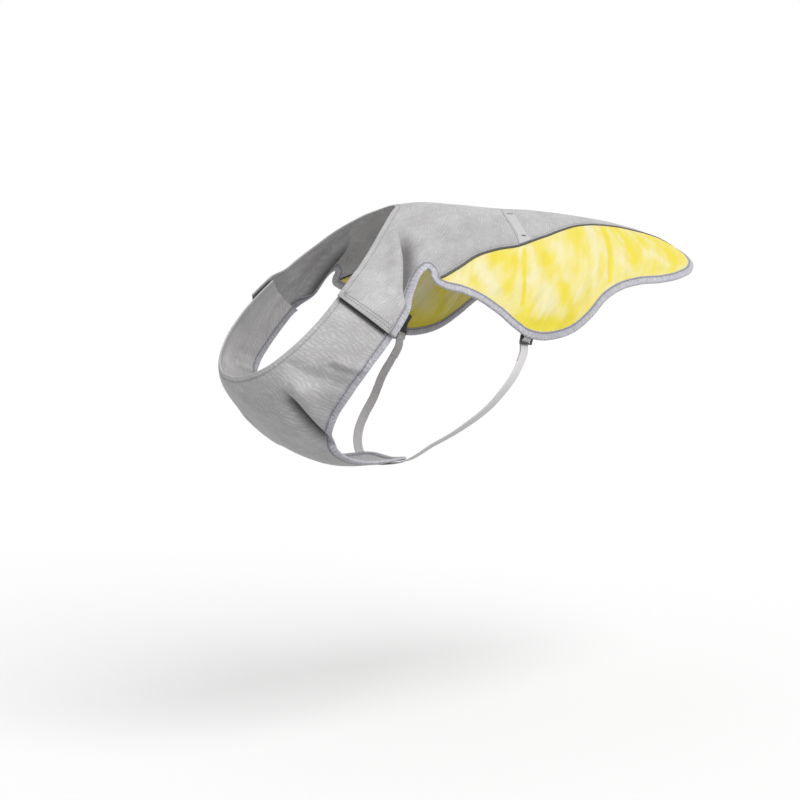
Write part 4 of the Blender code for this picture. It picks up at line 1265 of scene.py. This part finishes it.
def add_seam_stitches(faint_look, hem_look):
    """Topstitching beside the piping and round the neck, and hems along the strap ends."""
    top = PANEL + STITCH_OVER_CLOTH
    stop = left_hem(BINDING_WIDTH + TOPSTITCH)
    seam = between(side_seam(SEAM_INSET + TOPSTITCH), front_of(stop), rear_of(stop))
    armhole = left_body_edge(BINDING_WIDTH + TAPE_INSET)
    neck = beside(neck_edge(), NECK_HEM)
    over_back = neck[np.abs(neck[:, 1]) < STRAP_END_PHI - STRAP_HEM / FLAT_PHI]
    under_keel = beside(neck_edge(TURN), NECK_HEM)
    strap_ends = STRAP_END_PHI + HOOK_SHOWS / FLAT_PHI
    below_strap = np.abs(under_keel[:, 1] - math.pi) < math.pi - strap_ends
    lines = [stitch_line(seam, top), stitch_line(mirrored(seam), top),
             stitch_line(over_back, top, lap_height), stitch_line(under_keel[below_strap], top)]
    hems = []
    for hem in (STRAP_HEM, STRAP_HEM_INNER):
        end = between(across(STRAP_END_PHI - hem / FLAT_PHI), neck, front_of(armhole))
        hems += [stitch_line(end, top, lap_height), stitch_line(mirrored(end), top, lap_height)]
    settle(add_stitches("seam_stitches", lines, faint_look), "grey_mesh")
    settle(add_stitches("strap_hem_stitches", hems, hem_look), "grey_mesh")


PIPING_SIDES = 14
PIPING_UNDER = 3 * MM       # its flattened ends run under the bindings
PIPING_FLAT = 0.5           # of its height left there
PIPING_TAPER = 7 * MM


def add_piping(side, flip, cloth):
    """Round cord in its sleeve, standing a little proud of the seam, flat at its ends."""
    stop = left_hem(BINDING_WIDTH - PIPING_UNDER)
    run = between(side_seam(), front_of(stop), rear_of(stop))
    if flip:
        run = mirrored(run)
    rails, spots = [], []
    lengths = lengths_along(run)
    from_end = np.minimum(lengths, lengths[-1] - lengths) - PIPING_UNDER
    left = PIPING_FLAT + (1 - PIPING_FLAT) * ease(from_end / PIPING_TAPER)
    for k in range(PIPING_SIDES):
        angle = TURN * k / PIPING_SIDES
        x = PIPING_WIDTH / 2 * math.cos(angle)
        height = PIPING_HEIGHT / 2 * (1 + math.sin(angle)) * left
        rails.append(place(*beside(run, x).T, height))
        spots.append(np.column_stack((lengths, np.full(len(run), angle * PIPING_WIDTH / 2))))
    cord = add_tube("piping_cord_" + side, rails, spots, cloth)
    settle(cord, "dark_piping", "piping_" + side)


# ---------------------------------------------------------------- the strap closures
def add_closure_tapes(side, flip, hook, loop):
    """Hook tape under the strap end, and the loop tape on the bib that it grips."""
    upper = STRAP_END_PHI - OVERLAP_PHI + TAPE_INSET / FLAT_PHI
    loop_end = STRAP_END_PHI - TAPE_INSET / FLAT_PHI
    hook_end = STRAP_END_PHI + HOOK_SHOWS / FLAT_PHI
    armhole = beside(line(BIB_EDGE), -(BINDING_WIDTH + TAPE_INSET))
    neck = beside(neck_edge(), TAPE_NECK_INSET)
    loop_bottom = PANEL + LAYER_GAP
    hook_bottom = loop_bottom + TAPE + LAYER_GAP
    loop_tape = "loop_tape_cloth_" + side
    tapes = (
        # name, lower end, bottom, slot, material, flat length and width, what it lies on
        ("loop_tape", loop_end, loop_bottom, "grey_loop", loop, 0.066, 0.029, "chest_bib_cloth"),
        ("hook_tape", hook_end, hook_bottom, "black_hook", hook, 0.067, 0.033, loop_tape),
    )
    for name, lower, bottom, slot, look, long, wide, under in tapes:
        outline = outline_of(neck, across(lower), armhole[::-1], across(upper)[::-1])
        if flip:
            outline = mirrored(outline)[::-1]
        tape = add_shell(f"{name}_cloth_{side}", outline, bottom, bottom + TAPE, look)
        settle(tape, slot, f"{name}_{side}")


BARTACKS = (
    # phi, t, how wide in millimetres
    (0.335, 0.351, 9),
    (0.700, 0.370, 6),
)
BARTACK_EVERY = 0.5 * MM
ANCHOR_THIN = 0.35 * MM
ANCHOR_END_PHI = 0.72       # its edges' stitches end here


def add_strap_anchor(side, flip, cloth, edge_look, tack_look):
    """Tape sewn down the back panel to the seam, above the belly strap."""
    middle = line(ANCHOR_LINE)
    outline = outline_of(
        beside(middle, -ANCHOR_WIDTH / 2), side_seam(SEAM_INSET + LAYER_GAP),
        beside(middle, ANCHOR_WIDTH / 2)[::-1], across(ANCHOR_TOP_PHI)[::-1])
    sewn = [beside(middle, sign * (ANCHOR_WIDTH / 2 - ANCHOR_STITCH)) for sign in (1, -1)]
    if flip:
        outline = mirrored(outline)[::-1]
        sewn = [mirrored(path) for path in sewn]
    bottom = PANEL + LEG_CLEAR
    tape = add_shell("strap_anchor_cloth_" + side, outline, bottom, bottom + ANCHOR_THIN,
                     cloth, sewn=sewn)
    top = bottom + ANCHOR_THIN + STITCH_OVER_TAPE
    edges = [stitch_line(path[np.abs(path[:, 1]) < ANCHOR_END_PHI], top) for path in sewn]
    tacks = []
    for phi, t, wide in BARTACKS:
        bar = line([(t + k * wide / 2 * MM / FLAT_T, phi) for k in (-1, 0, 1)])
        bar = mirrored(bar) if flip else bar
        tacks.append(stitch_line(bar, top, every=BARTACK_EVERY, crosswise=True))
    threads = [add_stitches("strap_anchor_stitches_" + side, edges, edge_look),
               add_stitches("strap_anchor_tacks_" + side, tacks, tack_look)]
    for piece in threads:
        settle(piece, "grey_elastic")
    settle(tape, "grey_elastic", "strap_anchor_" + side)


# ---------------------------------------------------------------- the belly strap
# How webbing rounds a bar: its middle sinks BEND_DROP over BEND_RUN at each
# corner, and EASE is the spare room on each side.
BEND_RUN = 0.7 * MM
BEND_DROP = 0.6 * MM
EASE = 0.2 * MM

# Heights over the inner face of the cloth, at the slider under the hem.
TAB_FRONT = -(LAYER_GAP + BINDING_WALL) - LAYER_GAP - TAPE / 2
SLIDER_HEIGHT = TAB_FRONT - TAPE / 2 - GAP - SLIDER_THICK / 2
TAB_BACK = 2 * SLIDER_HEIGHT - TAB_FRONT
TAB_SEWN = TAB_FRONT - TAPE - GAP
STRAP_FRONT = SLIDER_HEIGHT + SLIDER_THICK / 2 + GAP + STRAP / 2
STRAP_BACK = 2 * SLIDER_HEIGHT - STRAP_FRONT
STRAP_OVER_TONGUE = PANEL + 2 * LAYER_GAP + BINDING_WALL + STRAP / 2
RIBBON_STEP = 0.7 * MM
RIBBON_FACETS = 3           # from the middle to each selvedge
RIBBON_FLAT = 0.96          # of its half width
TAIL_STEPS = 4
STRAP_STEP = 14 * MM        # between the stated points below the slider


def strap_route():
    """Rows of (length, t, phi) along the belly strap's middle, from under the left hem."""
    middle = both_sides(line(STRAP_LINE, 10 * MM), TURN)
    return np.column_stack((lengths_along(middle), middle))


def slider_start(route):
    """Length along the route at the upper edge of the left slider."""
    half = len(route) // 2
    return np.interp(SLIDER_PHI, route[:half, 2], route[:half, 0])


def on_route(route, s, sideways, height):
    """Point at a length along the route, moved sideways and out."""
    s = np.asarray(s, float)
    here = through_rows(route, s)
    run = tube(*through_rows(route, s + 0.1 * MM).T) - tube(*through_rows(route, s - 0.1 * MM).T)
    return place(*moved(here, run, sideways).T, height)


def finer(path, step):
    """A path of (length, height) with rounded turns, cut about every step."""
    path = np.array(path, float)
    walked = path_lengths(path)
    cuts = np.linspace(0, walked[-1], int(walked[-1] / step))
    return through_rows(np.column_stack((walked, path)), cuts), cuts


def add_ribbon(name, route, path, width, thickness, look):
    """Webbing whose thickness follows a path of (length along the route, height)."""
    path, cuts = finer(path, RIBBON_STEP)
    run = unit(np.gradient(path, axis=0))
    out = np.column_stack((-run[:, 1], run[:, 0]))
    corner = thickness / 2
    # sideways, outwards: the inner side and one round selvedge, then the same turned
    section = [(width / 2 * k / RIBBON_FACETS * RIBBON_FLAT, -corner)
               for k in range(-RIBBON_FACETS, RIBBON_FACETS + 1)]
    section += [(width / 2, -corner / 2), (width / 2, corner / 2)]
    section += [(-x, -lift) for x, lift in section]
    rails, spots = [], []
    for x, lift in section:
        s, height = (path + out * lift).T
        rails.append(on_route(route, s, x, height))
        spots.append(np.column_stack((cuts, np.full(len(cuts), x + (lift > 0) * 2 * width))))
    return add_tube(name, rails, spots, look)


def strap_height(s, route, start):
    """Height of the strap's middle: tucked in by the slider, out over the tongue."""
    tucked = 1 - ease((s - start - SLIDER_LENGTH) / STRAP_SETTLES)
    phi = through_rows(route, s)[..., 1]
    over = ease((phi - STRAP_CLIMB_PHI[0]) / (STRAP_CLIMB_PHI[1] - STRAP_CLIMB_PHI[0]))
    rest = STRAP / 2 + (STRAP_OVER_TONGUE - STRAP / 2) * over
    return rest * (1 - tucked) + STRAP_BACK * tucked


def strap_path(route, start):
    """Path of the whole strap: tail, slider, belly, slider, tail."""
    middle = route[-1, 0] / 2
    run = np.arange(start + SLIDER_LENGTH + 2 * MM, middle, STRAP_STEP)
    bar = start + SLIDER_BAR + SLIDER_SLOT      # upper edge of the middle bar
    below = bar + SLIDER_BAR                    # and its lower edge
    tail = np.linspace(start + STRAP_TAIL, bar + EASE, TAIL_STEPS)
    turn = STRAP / 2 + GAP
    threaded = (
        # up through the upper slot, over the middle bar, back through the lower slot
        (bar - turn, STRAP_BACK - EASE),
        (bar - turn - EASE, SLIDER_HEIGHT),
        (bar - BEND_RUN, STRAP_FRONT - BEND_DROP),
        (bar + EASE, STRAP_FRONT),
        (below - EASE, STRAP_FRONT),
        (below + BEND_RUN, STRAP_FRONT - BEND_DROP),
        (below + SLIDER_SLOT - BEND_RUN, STRAP_BACK + BEND_DROP),
        (below + SLIDER_SLOT + EASE, STRAP_BACK),
    )
    under = STRAP + GAP
    left = [(s, strap_height(s, route, start) - under) for s in tail]
    left += threaded
    left += [(s, strap_height(s, route, start)) for s in run]
    right = [(2 * middle - s, height) for s, height in reversed(left)]
    return left + [(middle, strap_height(middle, route, start))] + right


def add_belly_strap(route, start, look):
    """Elastic strap from slider to slider, sewn across the end of the bib's tongue."""
    path = strap_path(route, start)
    strap = add_ribbon("belly_strap_cloth", route, path, STRAP_WIDTH, STRAP, look)
    settle(strap, "grey_elastic", "belly_strap")


TONGUE_PHI = 2.90           # the strap is sewn to the tongue beyond this
TONGUE_STITCH = 1.8 * MM    # the box's long lines, from the strap's edges
TONGUE_BAR_EVERY = 1.9 * MM  # stitches of the lines across the strap


def add_tongue_stitches(look):
    """A sewn box with a line across it, where the strap crosses the bib's tongue."""
    middle = both_sides(line(STRAP_LINE), TURN)
    box = middle[(middle[:, 1] > TONGUE_PHI) & (middle[:, 1] < TURN - TONGUE_PHI)]
    top = STRAP_OVER_TONGUE + STRAP / 2 + STITCH_OVER_TAPE
    reach = STRAP_WIDTH / 2 - TONGUE_STITCH
    lines = [stitch_line(beside(box, x), top) for x in (-reach, reach)]
    for k in (0, len(box) // 2, -1):
        bar = line([(box[k, 0] + x * reach / FLAT_T, box[k, 1]) for x in (-1, 0, 1)])
        lines.append(stitch_line(bar, top, every=TONGUE_BAR_EVERY))
    settle(add_stitches("tongue_stitches", lines, look), "grey_elastic")


def add_slider_tab(side, route, start, look):
    """Loop of tape sewn inside the hem, round the slider's upper bar."""
    bar = start + SLIDER_BAR + EASE     # just past the upper bar
    turn = TAPE / 2 + GAP
    path = (
        (start - TAB_LENGTH, TAB_FRONT),
        (start, TAB_FRONT),
        (bar, TAB_FRONT),
        (bar + turn, TAB_FRONT - BEND_DROP),
        (bar + turn + EASE / 2, SLIDER_HEIGHT),
        (bar + turn, TAB_BACK + BEND_DROP),
        (bar, TAB_BACK),
        (start, TAB_BACK),
        (start - TAB_LENGTH / 3, TAB_SEWN),
        (start - TAB_LENGTH, TAB_SEWN),
    )
    tab = add_ribbon("slider_tab_cloth_" + side, route, path, TAB_WIDTH, TAPE, look)
    settle(tab, "black_webbing", "slider_tab_" + side)


SLIDER_ROUND = 0.45 * MM    # on its moulded edges
SLIDER_FLAT = math.radians(4)     # facets that meet at less are one face
SLIDER_SHARP = math.radians(30)   # edges that turn by more are rounded


def add_slider(side, plastic):
    """The slider's own solid with rounded edges."""
    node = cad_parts["slider_" + side]
    slider = bpy.data.objects.new("slider_moulded_" + side, node.data.copy())
    slider.matrix_world = node.matrix_world
    bpy.context.scene.collection.objects.link(slider)
    slider.data.materials.clear()
    slider.data.materials.append(plastic)
    work = bmesh.new()
    work.from_mesh(slider.data)
    bmesh.ops.dissolve_limit(work, angle_limit=SLIDER_FLAT, verts=work.verts, edges=work.edges)
    sharp = [edge for edge in work.edges if edge.calc_face_angle(0) > SLIDER_SHARP]
    bmesh.ops.bevel(work, geom=sharp, offset=SLIDER_ROUND, segments=3, profile=0.5, affect="EDGES")
    work.to_mesh(slider.data)
    work.free()
    slider.data.shade_smooth()
    settle(slider, "black_plastic", "slider_" + side)


def main():
    cloth = grey_mesh("grey_mesh", *BACK_RIBS, BACK_TONE)
    bib_cloth = grey_mesh("grey_mesh_bib", *BIB_RIBS, BIB_TONE)
    nylon = yellow_nylon()
    tape = light_binding()
    cord = dark_piping()
    hook = black_hook()
    loop = grey_loop()
    elastic = grey_elastic()
    webbing = black_webbing()
    plastic = black_plastic()
    anchor = anchor_tape()
    grey_thread = thread("grey_thread", (0.055, 0.055, 0.065), (0.12, 0.12, 0.135))
    hem_thread = thread("hem_thread", (0.14, 0.14, 0.145), (0.22, 0.22, 0.23))
    faint_thread = thread("faint_thread", (0.20, 0.20, 0.205), (0.28, 0.28, 0.285))
    left_route = strap_route()
    right_route = left_route * (1, 1, -1) + (0, 0, TURN)
    start = slider_start(left_route)
    add_back_panel(cloth)
    add_chest_bib(bib_cloth)
    add_bindings(tape, grey_thread)
    add_seam_stitches(faint_thread, hem_thread)
    add_belly_strap(left_route, start, elastic)
    add_tongue_stitches(grey_thread)
    for side, flip, route in (("left", False, left_route), ("right", True, right_route)):
        add_side_panel(side, flip, nylon)
        add_piping(side, flip, cord)
        add_closure_tapes(side, flip, hook, loop)
        add_strap_anchor(side, flip, anchor, faint_thread, grey_thread)
        add_slider_tab(side, route, start, webbing)
        add_slider(side, plastic)


# ---------------------------------------------------------------- stage
CAMERA_AZIMUTH = math.radians(53)
CAMERA_PITCH = math.radians(4.03)
CAMERA_DISTANCE = 2.0
CAMERA_ASIDE = -0.1859
CAMERA_HEIGHT = -0.097
FOCAL_LENGTH = 70.2
SENSOR_WIDTH = 36.0         # both in millimetres
FLOOR_Z = -0.62
FLOOR_REACH = 60.0
ROOM_LIGHT = 1.0
KEY_LIGHT = 3.6
KEY_SPREAD = math.radians(55)
KEY_FROM = (0.72, 0.08, 0.80)
# The floor sends back as much light as the room gives, so that no horizon shows.
FLOOR_GREY = ROOM_LIGHT / (ROOM_LIGHT + KEY_LIGHT / math.pi * Vector(KEY_FROM).normalized().z)


def add_camera():
    """The photograph's view: from the wearer's left, ahead and a little above."""
    right = Vector((math.cos(CAMERA_AZIMUTH), math.sin(CAMERA_AZIMUTH), 0))
    level = Vector((math.sin(CAMERA_AZIMUTH), -math.cos(CAMERA_AZIMUTH), 0))
    back = level * math.cos(CAMERA_PITCH) + Vector((0, 0, math.sin(CAMERA_PITCH)))
    up = back.cross(right)
    data = bpy.data.cameras.new("camera")
    data.lens = FOCAL_LENGTH
    data.sensor_width = SENSOR_WIDTH
    camera = bpy.data.objects.new("camera", data)
    bpy.context.scene.collection.objects.link(camera)
    turned = Matrix((right, up, back)).transposed().to_4x4()
    where = level * CAMERA_DISTANCE + right * CAMERA_ASIDE + Vector((0, 0, CAMERA_HEIGHT))
    camera.matrix_world = Matrix.Translation(where) @ turned
    bpy.context.scene.camera = camera


def add_floor():
    """A wide pale floor, well below the vest."""
    look = Look("floor", (FLOOR_GREY,) * 3, 1.0, Specular_IOR_Level=0.0)
    corners = [(x * FLOOR_REACH, y * FLOOR_REACH, FLOOR_Z)
               for x, y in ((-1, -1), (1, -1), (1, 1), (-1, 1))]
    floor = add_mesh("floor", corners, [(0, 1, 2, 3)], look.material)


def add_lights():
    """A pale studio: even light all round and one soft light from above."""
    scene = bpy.context.scene
    scene.world = bpy.data.worlds.new("studio")
    scene.world.use_nodes = True
    around = scene.world.node_tree.nodes["Background"]
    around.inputs["Color"].default_value = (*WHITE, 1.0)
    around.inputs["Strength"].default_value = ROOM_LIGHT
    data = bpy.data.lights.new("key", "SUN")
    data.energy = KEY_LIGHT
    data.angle = KEY_SPREAD
    key = bpy.data.objects.new("key", data)
    scene.collection.objects.link(key)
    key.rotation_euler = Vector(KEY_FROM).to_track_quat("Z", "Y").to_euler()
    scene.view_settings.view_transform = "Standard"


main()
add_camera()
add_floor()
add_lights()
